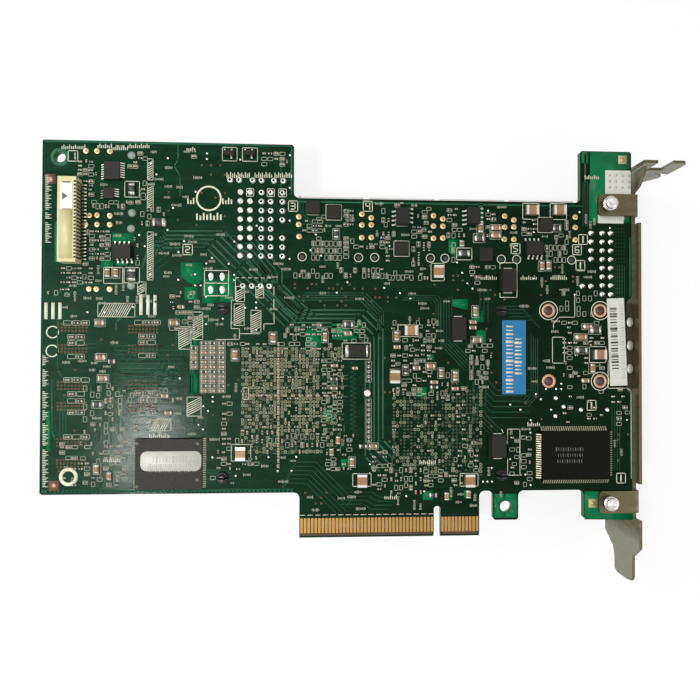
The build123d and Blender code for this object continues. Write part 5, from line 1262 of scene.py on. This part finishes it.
def turned_over(batch):
    """The same solid on the component side: each height becomes minus the board's thickness minus that
    height, and the order of each face's corners is reversed, which keeps the faces outwards."""
    points, order, sizes, slots = batch
    flipped = points.copy()
    flipped[:, 2] = -board_thick - points[:, 2]
    starts = np.cumsum(sizes) - sizes
    index = np.repeat(starts + sizes - 1, sizes) - (np.arange(len(order)) - np.repeat(starts, sizes))
    return flipped, order[index], sizes, slots


body_batches, end_caps = small_parts()
new_piece("component_side_parts", [turned_over(batch) for batch in (*body_batches, stamped(*end_caps, 0, 3))],
          [tan_ceramic, film_black, rust_ceramic, end_tin])
new_piece("component_side_marks", [turned_over(batch) for batch in (
    strokes(under_frames, 0.05), strokes(bars, 0.05), strokes(under_lines, copper_high, slot=1),
    stamped(fine_dot, vias, 0, (0.3, 0.3, 0.03), slot=2))], [print_white, trace_green, via_brown])

# Floor: a plain matt white ground under the card's lowest points, that looks white from above, keeps the
# card's soft shadow and is clear from below.
floor_half, white_share = 1.2, 0.8


def seen_share(tree):
    """One for a camera, glossy or transmission ray, and zero for any other: the largest of three flags."""
    seen, shown, either = add_nodes(tree, "LightPath", "Math", "Math")
    shown.operation = either.operation = "MAXIMUM"
    wire(tree, (seen.outputs["Is Camera Ray"], shown.inputs[0]),
         (seen.outputs["Is Glossy Ray"], shown.inputs[1]),
         (shown.outputs[0], either.inputs[0]), (seen.outputs["Is Transmission Ray"], either.inputs[1]))
    return either.outputs[0]


floor_mesh = bpy.data.meshes.new("floor")
floor_mesh.from_pydata([(-floor_half, -floor_half, 0), (floor_half, -floor_half, 0),
                        (floor_half, floor_half, 0), (-floor_half, floor_half, 0)], [], [(0, 1, 2, 3)])
floor = bpy.data.objects.new("floor", floor_mesh)
bpy.context.scene.collection.objects.link(floor)
floor_material = material_of("floor_white", (0.9, 0.9, 0.9), 0.9)
tree = floor_material.node_tree
shader, out = tree.nodes["Principled BSDF"], tree.nodes["Material Output"]
glow, part_white, mix, under, clear, through = add_nodes(
    tree, "Emission", "Math", "MixShader", "NewGeometry", "BsdfTransparent", "MixShader")
part_white.operation = "MULTIPLY"
part_white.inputs[1].default_value = white_share
wire(tree, (seen_share(tree), part_white.inputs[0]), (part_white.outputs[0], mix.inputs["Fac"]),
     (shader.outputs[0], mix.inputs[1]), (glow.outputs[0], mix.inputs[2]),
     (under.outputs["Backfacing"], through.inputs["Fac"]), (mix.outputs[0], through.inputs[1]),
     (clear.outputs[0], through.inputs[2]), (through.outputs[0], out.inputs["Surface"]))
floor.data.materials.append(floor_material)

# Light: a pale room all round, two broad soft lamps from the sides, and one broad and one small lamp whose
# reflections lie on the mask's left end and beside the flash chip, as in the photograph.
world = bpy.data.worlds.new("room")
bpy.context.scene.world = world
world.use_nodes = True
tree = world.node_tree
room, out = tree.nodes["Background"], tree.nodes["World Output"]
white, mix = add_nodes(tree, "Background", "MixShader")
room.inputs["Color"].default_value = white.inputs["Color"].default_value = (1, 1, 1, 1)
room.inputs["Strength"].default_value = 0.5
wire(tree, (seen_share(tree), mix.inputs["Fac"]), (room.outputs[0], mix.inputs[1]),
     (white.outputs[0], mix.inputs[2]), (mix.outputs[0], out.inputs["Surface"]))


def lamp(name, place, aim, size, power):
    """A square area lamp at a place, turned towards another."""
    data = bpy.data.lights.new(name, "AREA")
    data.size, data.energy = size, power
    lamp_object = bpy.data.objects.new(name, data)
    lamp_object.location = place
    lamp_object.rotation_euler = (Vector(aim) - Vector(place)).to_track_quat("-Z", "Y").to_euler()
    bpy.context.scene.collection.objects.link(lamp_object)


lamp("left", (-0.75, 0.45, 0.55), (0, 0, 0), 0.5, 4.2)
lamp("right", (0.75, -0.35, 0.5), (0, 0, 0), 0.5, 1.9)
lamp("veil", Vector(zero) + Vector((-222, 20, 372)) * millimetre,
     Vector(zero) + Vector((-85, 42, 0)) * millimetre, 0.26, 0.42)
lamp("glare", Vector(zero) + Vector((-207, -35, 372)) * millimetre,
     Vector(zero) + Vector((-75, 29, 0)) * millimetre, 0.05, 0.75)

# Camera: the photograph's place and lens, looking down on the solder side from just above the card.
camera_data = bpy.data.cameras.new("camera")
camera_data.sensor_width, camera_data.lens = 36.0, 26.753
camera_data.clip_start, camera_data.clip_end = 0.005, 20.0
camera = bpy.data.objects.new("camera", camera_data)
camera.location = Vector(zero) + Vector(camera_spot) * millimetre
camera.rotation_euler = camera_turn
bpy.context.scene.collection.objects.link(camera)
bpy.context.scene.camera = camera

bpy.context.scene.view_settings.view_transform = "Standard"
